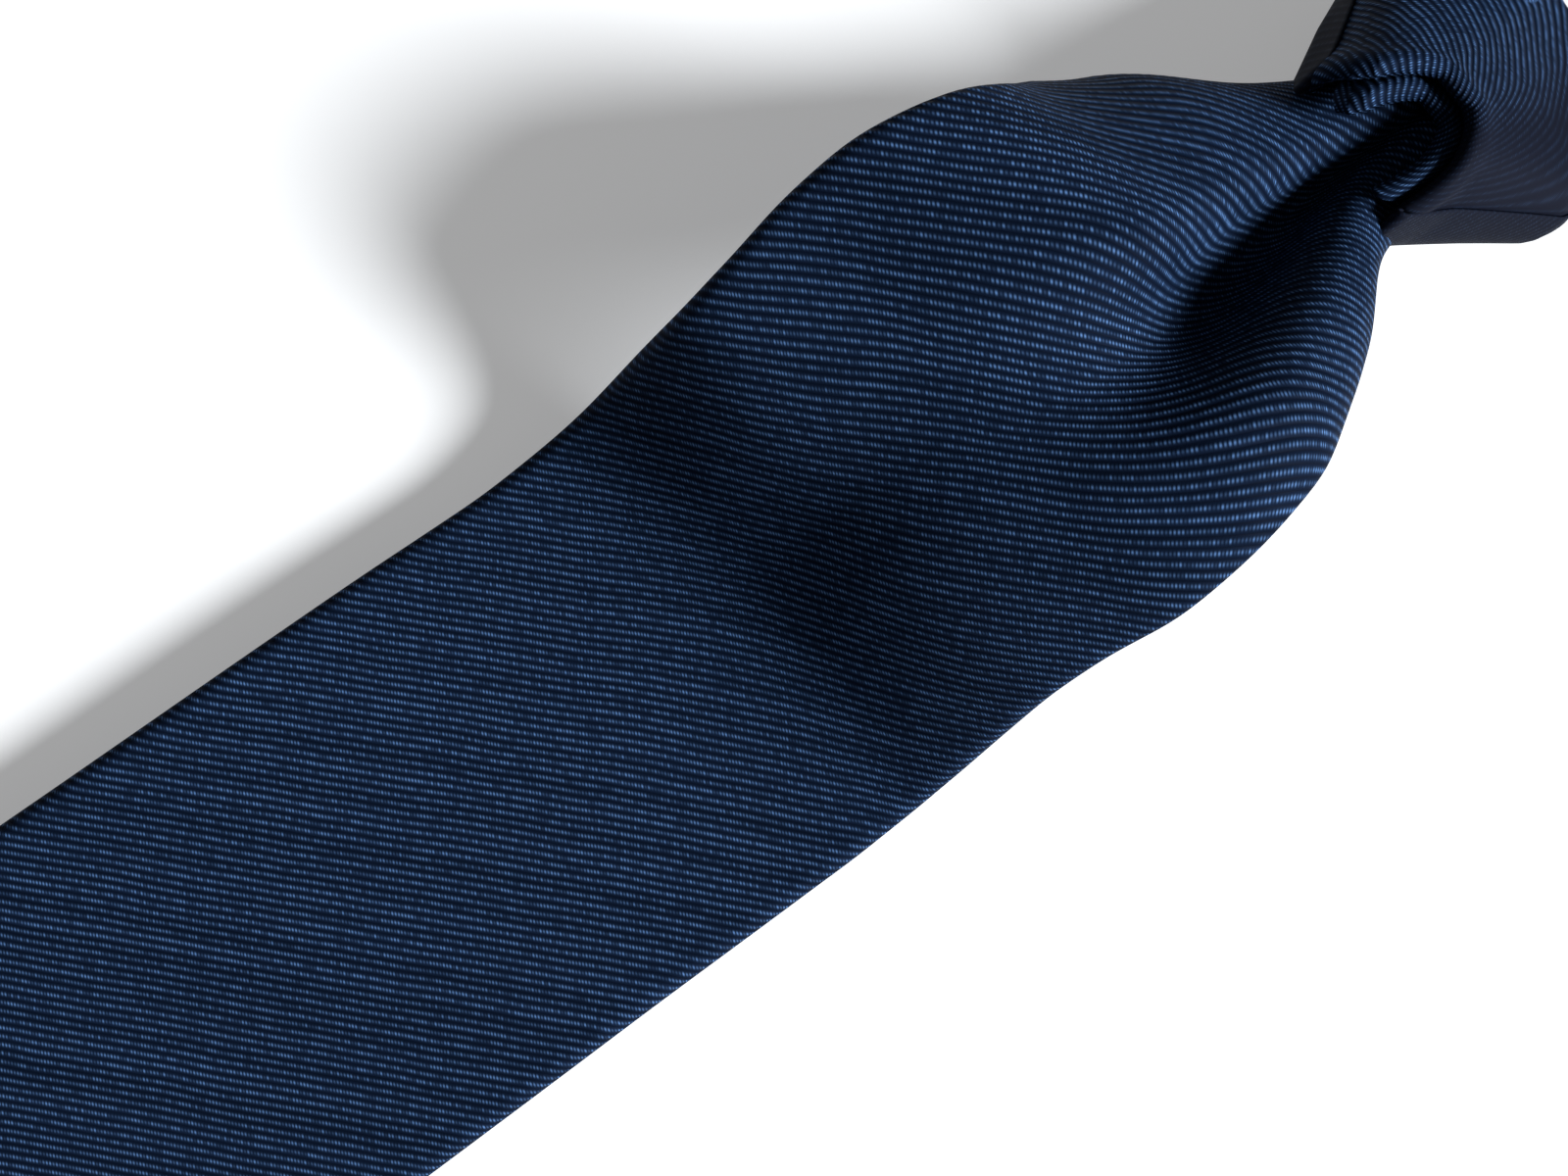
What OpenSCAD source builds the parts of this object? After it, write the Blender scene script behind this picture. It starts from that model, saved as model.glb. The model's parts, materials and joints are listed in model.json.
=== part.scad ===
// Knotted necktie lying face up: wide front blade, narrow tail beneath it, four-in-hand
// knot and neck loop.  +Y runs from the blade's point towards the neck, +Z is up.

/* [Front blade] */
// Greatest width of the front blade, at its shoulders
blade_w = 80; // [76:1:84]
// Width of the front blade where it settles on the table, below the arch
blade_root_w = 68; // [64:1:70]
// Length of the front blade from that line to its point
blade_len = 342; // [335:1:350]
// Length of the pointed end
point_len = 40; // [36:1:42]
// Thickness of the folded blade
blade_t = 4; // [3.8:0.1:4.2]
// Height of the blade's back over the table, where it lies over the tail
blade_lift_h = 5.3; // [5.3:0.1:5.8]
// Height of the blade's back over the table near its point
point_lift_h = 0.3; // [0.3:0.1:0.6]

/* [Arch below the knot] */
// Angle at which the blade climbs out of the knot
exit_angle = 28; // [26:1:30]
// Arc length from the knot's mouth to the crest of the arch
crest_len = 44; // [42:1:46]
// Arc length over which the blade rolls from the crest into its fall
roll_len = 34; // [32:1:36]
// Angle of the fall
fall_angle = 35; // [33:1:36]
// Arc length of the straight fall
fall_len = 30; // [28:1:31]
// Arc length over which the fall settles onto the table
settle_len = 24; // [22:1:26]
// Full width of the blade, reached at the arch
arch_w = 66; // [62:1:67]

/* [Knot] */
// Width of the knot's mouth
mouth_w = 23; // [22:1:24]
// Depth of the knot's mouth, front to back
mouth_d = 19; // [18.5:0.5:19.5]
// Width of the knot at its top
knot_w = 45; // [44:1:46]
// Depth of the knot at its top
knot_d = 18; // [17.5:0.5:18]
// Length of the knot from mouth to top
knot_len = 42; // [40:1:42]
// Tilt of the knot: its mouth is raised by this angle
knot_pitch = 31; // [29:1:31]
// Sideways place of the knot against the blade's centre line
knot_x = -3.5; // [-4:0.5:-3]
// Thickness of the cloth wrapped round the knot
wrap_t = 2.6; // [2.4:0.1:2.7]

/* [Tail] */
// Width of the tail at its shoulders
tail_w = 37; // [34:1:40]
// Width of the tail below the knot
tail_root_w = 29; // [27:1:30]
// Length of the flat part of the tail, to its point
tail_len = 142; // [138:1:143]
// Length of the tail's pointed end
tail_point_len = 18.5; // [17:0.5:20]
// Thickness of the folded tail
tail_t = 3.4; // [3.2:0.1:3.5]

/* [Neck loop] */
// Radius of the round end of the neck loop
loop_r = 52; // [50:1:54]
// Angle of each leg of the loop from the centre line
leg_angle = 28; // [27:1:29]
// Width of the neck band
band_w = 32; // [30:1:34]
// Thickness of the neck band
band_t = 3.2; // [3:0.1:3.3]
// Tilt of the band at the back of the neck
band_tilt = 80; // [76:1:82]

/* [Sewing] */
// Thickness of the outer cloth
cloth_t = 0.6; // [0.5:0.05:0.65]
// Width of the open centre seam on the back
slit_w = 1; // [0.8:0.1:1.2]
// Gap between the keeper strip and the blade's back
keeper_gap = 4.5; // [4.4:0.1:4.5]

/* [Hidden] */

navy = [0.06, 0.10, 0.22];
navy_dark = [0.03, 0.05, 0.12];
wool = [0.86, 0.84, 0.78];
satin = [0.05, 0.08, 0.18];
thread = [0.10, 0.15, 0.30];
tape = [0.12, 0.13, 0.16];

fit = 0.1;          // clearance between a piece and the pocket that holds it
joint_gap = 0.35;   // clearance across a fold or slide
step = 2;           // spacing of the points along a curved run

function smooth(t) = let (c = min(1, max(0, t))) c * c * (3 - 2 * c);
function mix(a, b, t) = a + (b - a) * t;

// ---- Side view of the arch: [y, z] points from the mouth (s = 0) to the table ----
s_crest = crest_len;
s_roll = s_crest + roll_len;
s_fall = s_roll + fall_len;
s_end = s_fall + settle_len;
arch_steps = ceil(s_end / step);
ds = s_end / arch_steps;

function climb(s) =
    s < s_crest ? mix(exit_angle, 0, s / crest_len) :
    s < s_roll ? mix(0, -fall_angle, (s - s_crest) / roll_len) :
    s < s_fall ? -fall_angle :
    mix(-fall_angle, 0, min(1, (s - s_fall) / settle_len));

run = [for (i = 0, p = [0, 0]; i <= arch_steps;
            p = p + ds * [-cos(climb((i + 0.5) * ds)), sin(climb((i + 0.5) * ds))],
            i = i + 1) p];
run_end = run[arch_steps];
blade_mid = blade_lift_h + blade_t / 2;
mouth_z = blade_mid - run_end[1];
fold_y = run_end[0];
tail_drop = blade_mid - tail_t / 2;

// A point of the arch, moved by n along the surface's normal
function arch_pt(i, n) = let (a = climb(i * ds))
    [run[i][0] + n * sin(a), mouth_z + run[i][1] + n * cos(a)];
function arch_strip(lo, hi) = concat(
    [for (i = [0:arch_steps]) arch_pt(i, hi)],
    [for (i = [arch_steps:-1:0]) arch_pt(i, lo)]);

// ---- Plan outlines ----
spread_len = 58;    // the blade reaches its full width this far from the mouth
lean_len = 100;     // and comes back to the centre line this far from it
function arch_half(i, w0, w1, w2) = let (s = i * ds)
    (w0 + (w1 - w0) * smooth(s / spread_len)
        + (w2 - w1) * max(0, s - spread_len) / (s_end - spread_len)) / 2;
function arch_shift(i) = knot_x * (1 - smooth(i * ds / lean_len));
function arch_plan(w0, w1, w2, inset) = concat(
    [for (i = [0:arch_steps]) [arch_shift(i) + arch_half(i, w0, w1, w2) - inset, run[i][0]]],
    [for (i = [arch_steps:-1:0]) [arch_shift(i) - arch_half(i, w0, w1, w2) + inset, run[i][0]]]);

tip_y = fold_y - blade_len;
shoulder_y = tip_y + point_len;
seam_end_y = tip_y + 105;
tail_start_y = fold_y - joint_gap;
tail_tip_y = fold_y - tail_len;
tail_shoulder_y = tail_tip_y + tail_point_len;
tail_seam_end_y = tail_tip_y + 52;

// Pointed strip from y0 down to a point at y1, inset all round except at its open top
function pointed(y0, y1, y_shoulder, w0, w1, inset, over) =
    let (slope = (y_shoulder - y1) / (w1 / 2), drop = inset * sqrt(1 + slope * slope))
    [[w0 / 2 - inset, y0 + over],
     [w1 / 2 - inset, y1 + drop + slope * (w1 / 2 - inset)], [0, y1 + drop],
     [inset - w1 / 2, y1 + drop + slope * (w1 / 2 - inset)],
     [inset - w0 / 2, y0 + over]];

// ---- Side view of the lower blade: level over the tail, then down onto the table ----
down_y0 = seam_end_y - 2;
down_y1 = down_y0 - 60;
function blade_strip(lo, hi) = [
    [fold_y + 10, blade_mid + hi], [down_y0, blade_mid + hi],
    [down_y1, point_lift_h + blade_t / 2 + hi], [tip_y - 10, point_lift_h + blade_t / 2 + hi],
    [tip_y - 10, point_lift_h + blade_t / 2 + lo], [down_y1, point_lift_h + blade_t / 2 + lo],
    [down_y0, blade_mid + lo], [fold_y + 10, blade_mid + lo]];

core_t = blade_t - 2 * cloth_t;

// ---- Whole object along Y, for the origin at the middle of its length ----
leg_x = 7;          // where each leg starts, inside the open top of the knot
leg_y = 33;
apex_y = leg_y - leg_x / tan(leg_angle);
loop_cy = apex_y + loop_r / sin(leg_angle);
leg_run = loop_r / tan(leg_angle) - leg_x / sin(leg_angle);
loop_end_y = loop_cy + loop_r + band_t / 2;
shift_y = -(tip_y + loop_end_y) / 2;

module place() {
    translate([0, shift_y, 0]) children();
}

// Side-view outline carried across the whole width
module side_slab(pts) {
    rotate([90, 0, 90]) translate([0, 0, -60]) linear_extrude(120) polygon(pts);
}

// Plan outline carried through the whole height
module plan_slab(pts) {
    translate([0, 0, -20]) linear_extrude(100) polygon(pts);
}

// ---- Lofted skins: rings of points joined into one closed solid ----
// The sides' corners are cut along the same diagonals as the inner side of a c_loft, so a
// filling made with the same rings stays clear of its cover
module loft(rings) {
    n = len(rings[0]);
    m = len(rings);
    polyhedron(
        points = [for (r = rings) for (p = r) p],
        faces = concat(
            [[for (j = [n - 1:-1:0]) j]],
            [for (i = [0:m - 2]) for (j = [0:n - 1])
                [i * n + j, i * n + (j + 1) % n, (i + 1) * n + j]],
            [for (i = [0:m - 2]) for (j = [0:n - 1])
                [i * n + (j + 1) % n, (i + 1) * n + (j + 1) % n, (i + 1) * n + j]],
            [[for (j = [0:n - 1]) (m - 1) * n + j]]));
}

// Loft of C-shaped rings: the first half of each ring runs along the outside and the
// second half comes back along the inside
module c_loft(rings) {
    n = len(rings[0]);
    h = n / 2;
    m = len(rings);
    top = (m - 1) * n;
    polyhedron(
        points = [for (r = rings) for (p = r) p],
        faces = concat(
            [for (j = [0:h - 2]) [j + 1, j, n - 1 - j]],
            [for (j = [0:h - 2]) [j + 1, n - 1 - j, n - 2 - j]],
            [for (i = [0:m - 2]) for (j = [0:n - 1])
                [i * n + j, i * n + (j + 1) % n, (i + 1) * n + (j + 1) % n]],
            [for (i = [0:m - 2]) for (j = [0:n - 1])
                [i * n + j, (i + 1) * n + (j + 1) % n, (i + 1) * n + j]],
            [for (j = [0:h - 2]) [top + j, top + j + 1, top + n - 1 - j]],
            [for (j = [0:h - 2]) [top + j + 1, top + n - 2 - j, top + n - 1 - j]]));
}

// ---- Knot, in its own frame: Y from mouth to top, Z out of its front ----
top_round = 6;      // length of the rounding at the knot's top
top_inward = 2.5;   // how far that rounding draws the sides in
end_inward = 1;     // how far the front and back draw in at both ends
flare = 0.9;        // below 1, the knot widens soonest near its mouth
corner = 0.8;       // below 1, the knot's section is squarer than an oval
inner_top = 7;      // how far the inner layers stop short of the top
first_wrap_t = 1.4;
function knot_half_w(v) =
    mix(mouth_w, knot_w, pow(max(0, min(1, v / (knot_len - top_round))), flare)) / 2
    - top_inward * pow(max(0, (v - knot_len + top_round) / top_round), 2);
function knot_half_d(v) = mix(mouth_d, knot_d, max(0, v / knot_len)) / 2
    - end_inward * pow(abs(2 * v / knot_len - 1), 3);
// Point of the rounded oblong round the knot's axis: its front is at a = 270 degrees
function knot_pt(v, a, inset) =
    [(knot_half_w(v) - inset) * sign(cos(a)) * pow(abs(cos(a)), corner), v,
     -(knot_half_d(v) - inset) * sign(sin(a)) * pow(abs(sin(a)), corner)];
knot_axis_drop = 2.5;
module in_knot() {
    place()
        translate([knot_x, -knot_axis_drop * sin(knot_pitch),
                   mouth_z - knot_axis_drop * cos(knot_pitch)])
            rotate([-knot_pitch, 0, 0]) translate([0, 0.6, 0]) children();
}
// Cloth wrapped part of the way round the knot, from angle a0 to a1
module knot_wrap(a0, a1, inset, t, v0, v1) {
    sides = 24;
    rings = 8;
    c_loft([for (i = [0:rings]) let (v = mix(v0, v1, i / rings)) concat(
        [for (j = [0:sides]) knot_pt(v, mix(a0, a1, j / sides), inset)],
        [for (j = [sides:-1:0]) knot_pt(v, mix(a0, a1, j / sides), inset + t)])]);
}

// Rounded tongue inside the knot: half width a, half depth b, centred at height w
module tongue(a0, a1, b, w, v0, v1) {
    loft([for (i = [0:6]) [for (j = [0:15])
        let (t = 360 * j / 16, v = mix(v0, v1, i / 6), a = mix(a0, a1, i / 6))
        [a * sign(cos(t)) * pow(abs(cos(t)), 0.7), v,
         w - b * sign(sin(t)) * pow(abs(sin(t)), 0.7)]]]);
}

module knot_front_wrap() {
    color(navy) in_knot() knot_wrap(174, 366, 0, wrap_t, 0, knot_len);
}
module knot_back_pass() {
    color(navy) in_knot() knot_wrap(10, 170, 0, wrap_t, 0, knot_len);
}
module knot_first_wrap() {
    color(navy_dark) in_knot() knot_wrap(196, 344, wrap_t + 2 * fit, first_wrap_t, 1.5, knot_len - inner_top);
}
module knot_tail_core() {
    color(navy_dark) in_knot() tongue(5, 12, 1.2, -4, 0.5, knot_len - inner_top);
}
module blade_throat() {
    color(navy) in_knot() tongue(6.2, 13, 2.2, 0.9, 0.5, knot_len - inner_top);
}

// ---- Arch of the blade ----
throat_w = mouth_w - 6;
module arch_solid(half_t, inset, w0, w1, w2) {
    intersection() {
        side_slab(arch_strip(-half_t, half_t));
        plan_slab(arch_plan(w0, w1, w2, inset));
    }
}
module blade_arch_shell() {
    color(navy) place() difference() {
        arch_solid(blade_t / 2, 0, throat_w, arch_w, blade_root_w);
        arch_solid(core_t / 2, cloth_t, throat_w, arch_w, blade_root_w);
        intersection() {
            side_slab(arch_strip(-blade_t, 0));
            plan_slab(arch_plan(slit_w, slit_w, slit_w, 0));
        }
    }
}
module blade_arch_interlining() {
    color(wool) place() arch_solid(core_t / 2 - fit, cloth_t + fit,
        throat_w, arch_w, blade_root_w);
}

// ---- Front blade ----
fold_gap = 0.4;
module front_plan(inset, over) {
    plan_slab(pointed(fold_y - fold_gap, tip_y, shoulder_y, blade_root_w, blade_w, inset, over));
}
side_hem = 6;       // width of the hem beside the tipping
tip_hem = 9;        // and at the point
module front_window(inset) {
    half = blade_w / 2 - side_hem - inset;
    plan_slab([[0, seam_end_y - 2 * inset], [half, shoulder_y + 4], [half, shoulder_y + 2],
               [0, tip_y + tip_hem + inset], [-half, shoulder_y + 2], [-half, shoulder_y + 4]]);
}
module front_blade_shell() {
    color(navy) place() difference() {
        intersection() {
            side_slab(blade_strip(-blade_t / 2, blade_t / 2));
            front_plan(0, 0);
        }
        intersection() {
            side_slab(blade_strip(-core_t / 2, core_t / 2));
            front_plan(cloth_t, 5);
        }
        intersection() {
            side_slab(blade_strip(-blade_t, 0));
            union() {
                front_window(0);
                translate([-slit_w / 2, seam_end_y - 4, -5])
                    cube([slit_w, fold_y - seam_end_y + 10, 20]);
            }
        }
    }
}
module front_interlining() {
    color(wool) place() intersection() {
        side_slab(blade_strip(fit - core_t / 2, core_t / 2 - fit));
        front_plan(cloth_t + fit, 0);
    }
}
module front_tipping() {
    color(satin) place() intersection() {
        side_slab(blade_strip(-blade_t / 2, -blade_t / 2 + cloth_t - fit));
        front_window(0.3);
    }
}

// Zigzag thread in the plane of the back, from y0 to y1
module zigzag(y0, y1, pitch, swing, w) {
    n = floor((y1 - y0) / pitch);
    polygon(concat(
        [for (i = [0:n]) [(i % 2 == 0 ? -swing : swing) - w / 2, y0 + i * pitch]],
        [for (i = [n:-1:0]) [(i % 2 == 0 ? -swing : swing) + w / 2, y0 + i * pitch]]));
}
module front_slip_stitch() {
    color(thread) place() translate([0, 0, blade_lift_h])
        linear_extrude(0.4) zigzag(seam_end_y + 5, fold_y - 4, 6, 0.15, 0.4);
}
module front_bar_tack() {
    color(thread) place() translate([-4, seam_end_y + 1.5, blade_lift_h - 0.6])
        cube([8, 1.6, 0.6 - 0.02]);
}
// Flat oval loop of thread, its long axis along Y
module thread_oval(l, w, t) {
    difference() {
        hull() {
            circle(d = w, $fn = 24);
            translate([0, l - w]) circle(d = w, $fn = 24);
        }
        hull() {
            circle(d = w - 2 * t, $fn = 24);
            translate([0, l - w]) circle(d = w - 2 * t, $fn = 24);
        }
    }
}
module front_thread_loop() {
    color(thread) place() translate([3.5, seam_end_y + 6, blade_lift_h - 0.55])
        linear_extrude(0.5) thread_oval(12, 3.6, 0.5);
}

// ---- Keeper, blank label and care label on the blade's back ----
keeper_y = fold_y - 183;
keeper_len = 12;
keeper_half = 24;
keeper_t = 0.7;
module keeper_loop() {
    color(navy) place() translate([0, keeper_y + keeper_len / 2, blade_lift_h])
        rotate([90, 0, 0]) linear_extrude(keeper_len) difference() {
            polygon([[-keeper_half - 4, 0], [-keeper_half, -keeper_gap - keeper_t],
                     [keeper_half, -keeper_gap - keeper_t], [keeper_half + 4, 0]]);
            polygon([[-keeper_half - 2.9, 0.1], [0.6 - keeper_half, -keeper_gap],
                     [keeper_half - 0.6, -keeper_gap], [keeper_half + 2.9, 0.1]]);
        }
}
module keeper_tacks() {
    color(thread) place() for (side = [-1, 1])
        translate([side * (keeper_half + 5.6) - 1, keeper_y - 3, blade_lift_h - 0.5])
            cube([2, 6, 0.48]);
}
label_y = keeper_y - 19;
module blank_label() {
    color(tape) place() translate([-22, label_y - 8, blade_lift_h - 0.45])
        cube([44, 16, 0.43]);
}
module label_stitches() {
    color(thread) place() for (side = [-1, 1]) for (k = [-1, 1])
        translate([side * 20 - 1.5, label_y + k * 6.4 - 0.3, blade_lift_h - 0.75])
            cube([3, 0.6, 0.28]);
}
module care_label() {
    color(tape) place() translate([-18, seam_end_y + 8, blade_lift_h - 0.42])
        cube([13, 12, 0.4]);
}

// ---- Tail ----
tail_core_t = tail_t - 2 * cloth_t;
module tail_arch() {
    color(navy) place() intersection() {
        side_slab(arch_strip(-tail_t / 2 - tail_drop, tail_t / 2 - tail_drop));
        plan_slab(arch_plan(13, tail_root_w - 1, tail_root_w, 0));
    }
}
module tail_plan(inset, over) {
    plan_slab(pointed(tail_start_y, tail_tip_y, tail_shoulder_y, tail_root_w, tail_w, inset, over));
}
module tail_layer(z0, z1) {
    translate([-60, tail_tip_y - 10, z0]) cube([120, tail_len + 20, z1 - z0]);
}
tail_side_hem = 4;
tail_tip_hem = 6;
module tail_window(inset) {
    half = tail_w / 2 - tail_side_hem - inset;
    plan_slab([[0, tail_seam_end_y - 2 * inset],
               [half, tail_shoulder_y + 4], [half, tail_shoulder_y + 1],
               [0, tail_tip_y + tail_tip_hem + inset],
               [-half, tail_shoulder_y + 1], [-half, tail_shoulder_y + 4]]);
}
tack_y = tail_seam_end_y + 5;
loop_y = tail_seam_end_y + 12;
module tail_shell() {
    color(navy) place() difference() {
        intersection() {
            tail_layer(0, tail_t);
            tail_plan(0, 0);
        }
        intersection() {
            tail_layer(cloth_t, tail_t - cloth_t);
            tail_plan(cloth_t, 5);
        }
        intersection() {
            tail_layer(-1, cloth_t + fit);
            tail_window(0);
        }
        translate([-slit_w / 2, tail_seam_end_y - 4, -1])
            cube([slit_w, tail_start_y - tail_seam_end_y + 10, 1 + cloth_t + fit]);
        translate([-3.2, tack_y - 1, -1]) cube([6.4, 2, 1 + cloth_t + fit]);
        translate([-0.1, loop_y - 2, -1]) cube([4.2, 12, 1 + cloth_t + fit]);
    }
}
module tail_interlining() {
    color(wool) place() intersection() {
        tail_layer(cloth_t + fit, tail_t - cloth_t - fit);
        tail_plan(cloth_t + fit, 0);
    }
}
module tail_tipping() {
    color(satin) place() intersection() {
        tail_layer(fit, cloth_t);
        tail_window(0.3);
    }
}
module tail_slip_stitch() {
    color(thread) place() translate([0, 0, fit])
        linear_extrude(0.4) zigzag(loop_y + 11, tail_start_y - 4, 6, 0.15, 0.4);
}
module tail_bar_tack() {
    color(thread) place() translate([-3, tack_y - 0.8, fit]) cube([6, 1.6, 0.5]);
}
module tail_thread_loop() {
    color(thread) place() translate([2, loop_y, fit])
        linear_extrude(0.5) thread_oval(9.6, 3.2, 0.5);
}

// ---- Neck loop: a band swept along a teardrop, turning onto its edge ----
arc_deg = 180 + 2 * leg_angle;
arc_run = loop_r * arc_deg * PI / 180;
loop_run = 2 * leg_run + arc_run;

// Plan point of the loop at a distance s from the knot, the start of the blade's leg first
function loop_xy(s) =
    s < leg_run ? [leg_x + s * sin(leg_angle), leg_y + s * cos(leg_angle)] :
    s > leg_run + arc_run ? let (r = loop_run - s)
        [-leg_x - r * sin(leg_angle), leg_y + r * cos(leg_angle)] :
    let (a = -leg_angle + (s - leg_run) / loop_r * 180 / PI)
        [loop_r * cos(a), loop_cy + loop_r * sin(a)];
// Outward direction in plan
function loop_out(s) =
    s < leg_run ? [cos(leg_angle), -sin(leg_angle)] :
    s > leg_run + arc_run ? [-cos(leg_angle), -sin(leg_angle)] :
    let (a = -leg_angle + (s - leg_run) / loop_r * 180 / PI) [cos(a), sin(a)];
function from_end(s) = min(s, loop_run - s);
leg_w = 12;         // width of the gathered band inside the knot
leg_lift = 5.8;     // its height there over the lie of the band on the table
leg_spread = 60;    // the band opens to its full width over this length
leg_fall = 50;      // and comes down onto the table over this one
flat_tilt = 12;     // its tilt where it leaves the knot
full_tilt_run = 20; // it is fully tilted this far before the back of the neck
function tilt(s) =
    mix(flat_tilt, band_tilt, smooth(from_end(s) / (loop_run / 2 - full_tilt_run)));
function width_at(s) = mix(leg_w, band_w, smooth(from_end(s) / leg_spread));
function height_at(s) = width_at(s) / 2 * sin(tilt(s)) + band_t / 2 * cos(tilt(s))
    + leg_lift * (1 - smooth(from_end(s) / leg_fall));
function band_pt(s, across, up) = let (o = loop_out(s), p = loop_xy(s), k = tilt(s))
    [p[0] + o[0] * (up * sin(k) - across * cos(k)) + knot_x * (1 - smooth(from_end(s) / leg_fall)),
     p[1] + o[1] * (up * sin(k) - across * cos(k)),
     height_at(s) + up * cos(k) + across * sin(k)];
// Folded cloth of the band: an envelope, open along a slit down the middle of its inner side
function band_ring(s, skew) =
    let (a = width_at(s) / 2, b = band_t / 2, g = slit_w / 2, c = cloth_t)
    [for (q = [[-g, -b], [-a, -b], [-a, b], [a, b], [a, -b], [g, -b],
               [g, c - b], [a - c, c - b], [a - c, b - c], [c - a, b - c], [c - a, c - b],
               [-g, c - b]])
        band_pt(s + skew * q[0], q[0], q[1])];
band_step = 6;      // spacing of the rings along the band
// Places of the rings along a piece of the band: [distance, skew of the ring]
function stations(s0, s1, skew0, skew1) = let (n = ceil((s1 - s0) / band_step))
    [for (i = [0:n]) [mix(s0, s1, i / n), mix(skew0, skew1, i / n)]];
module band(places) {
    c_loft([for (p = places) band_ring(p[0], p[1])]);
}
seam_slant = 0.9;   // how far a piecing seam slants, against the band's width
seam_half = 0.25;
seam_front_s = leg_run + 52;
seam_tail_s = loop_run - leg_run - 40;
front_leg_places = stations(0, seam_front_s - seam_half - fit, 0, seam_slant);
gusset_places = stations(seam_front_s + seam_half + fit, seam_tail_s - seam_half - fit,
    seam_slant, -seam_slant);
tail_leg_places = stations(seam_tail_s + seam_half + fit, loop_run, -seam_slant, 0);
module neck_front_leg() {
    color(navy) place() band(front_leg_places);
}
module neck_gusset() {
    color(navy) place() band(gusset_places);
}
module neck_tail_leg() {
    color(navy) place() band(tail_leg_places);
}
module piecing_seam_front() {
    color(thread) place() band(stations(seam_front_s - seam_half, seam_front_s + seam_half,
        seam_slant, seam_slant));
}
module piecing_seam_tail() {
    color(thread) place() band(stations(seam_tail_s - seam_half, seam_tail_s + seam_half,
        -seam_slant, -seam_slant));
}
module neck_interlining() {
    inset = cloth_t + fit;
    b = band_t / 2 - inset;
    color(wool) place() loft([for (p = concat(front_leg_places, gusset_places, tail_leg_places))
        let (s = p[0], skew = p[1], a = width_at(s) / 2 - inset, g = slit_w / 2)
        [for (q = [[-g, -b], [-a, -b], [-a, b], [a, b], [a, -b], [g, -b]])
            band_pt(s + skew * q[0], q[0], q[1])]]);
}

knot_front_wrap();
knot_back_pass();
knot_first_wrap();
knot_tail_core();
blade_throat();
blade_arch_shell();
blade_arch_interlining();
front_blade_shell();
front_interlining();
front_tipping();
front_slip_stitch();
front_bar_tack();
front_thread_loop();
keeper_loop();
keeper_tacks();
blank_label();
label_stitches();
care_label();
tail_arch();
tail_shell();
tail_interlining();
tail_tipping();
tail_slip_stitch();
tail_bar_tack();
tail_thread_loop();
neck_front_leg();
neck_gusset();
neck_tail_leg();
neck_interlining();
piecing_seam_front();
piecing_seam_tail();
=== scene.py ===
"""Looks of a knotted navy necktie lying face up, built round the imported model.

Places and lengths are in millimetres until a mesh is made from them.  The front blade's point lies
towards -Y and the neck loop towards +Y.  The distance s runs along the cloth's middle line, from 0
at the knot's mouth to TIP_S at the blade's point.
"""
import bpy
import json
import math
import numpy as np
from mathutils import Matrix, Vector


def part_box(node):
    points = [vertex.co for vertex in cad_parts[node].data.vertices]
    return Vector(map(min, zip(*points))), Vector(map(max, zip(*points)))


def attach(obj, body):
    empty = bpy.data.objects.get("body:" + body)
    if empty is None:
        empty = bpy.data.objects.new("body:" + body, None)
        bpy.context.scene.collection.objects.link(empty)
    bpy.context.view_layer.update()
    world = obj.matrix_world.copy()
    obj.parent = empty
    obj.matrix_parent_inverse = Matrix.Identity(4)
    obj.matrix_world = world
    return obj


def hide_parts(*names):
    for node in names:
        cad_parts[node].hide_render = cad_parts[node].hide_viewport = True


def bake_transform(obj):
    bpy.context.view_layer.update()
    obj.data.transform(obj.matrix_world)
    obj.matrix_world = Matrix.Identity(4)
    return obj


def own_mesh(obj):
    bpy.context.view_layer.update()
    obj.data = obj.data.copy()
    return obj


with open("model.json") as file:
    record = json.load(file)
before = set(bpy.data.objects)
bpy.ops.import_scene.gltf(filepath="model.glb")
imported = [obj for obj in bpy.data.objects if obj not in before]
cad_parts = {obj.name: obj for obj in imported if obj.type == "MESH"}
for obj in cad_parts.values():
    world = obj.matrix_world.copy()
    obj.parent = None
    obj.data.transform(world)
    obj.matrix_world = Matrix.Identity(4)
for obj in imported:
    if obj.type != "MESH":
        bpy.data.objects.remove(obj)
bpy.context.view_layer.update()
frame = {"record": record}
MM = 0.001

# -------- places from the frame
JOINTS = {j["name"]: j for j in frame["record"]["behaviour"]["joints"]}
FOLD_Y = JOINTS["blade_lift"]["pos_m"][1] / MM
FOLD_Z = JOINTS["blade_lift"]["pos_m"][2] / MM


def node_box(name):
    """Lowest and highest corners of a CAD node, in millimetres."""
    low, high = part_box(name)
    return np.array(low) / MM, np.array(high) / MM


BLADE_LOW, BLADE_HIGH = node_box("front_blade_shell")
TAIL_LOW, TAIL_HIGH = node_box("tail_shell")
ARCH_HIGH = node_box("blade_arch_shell")[1]
KEEPER_LOW, KEEPER_HIGH = node_box("keeper_loop")
LABEL_LOW, LABEL_HIGH = node_box("blank_label")
CARE_LOW, CARE_HIGH = node_box("care_label")
TIP_Y = BLADE_LOW[1]
TAIL_TIP_Y = TAIL_LOW[1]
BLADE_W = BLADE_HIGH[0] - BLADE_LOW[0]
TAIL_W = TAIL_HIGH[0] - TAIL_LOW[0]
MOUTH_Y = ARCH_HIGH[1] - 0.94       # where the blade comes out of the knot
SEAM_END_Y = TIP_Y + 105.0          # where the seam up the blade's back starts
TAIL_SEAM_END_Y = TAIL_TIP_Y + 52.0
BLADE_BACK_Z = FOLD_Z - 4.0

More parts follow.
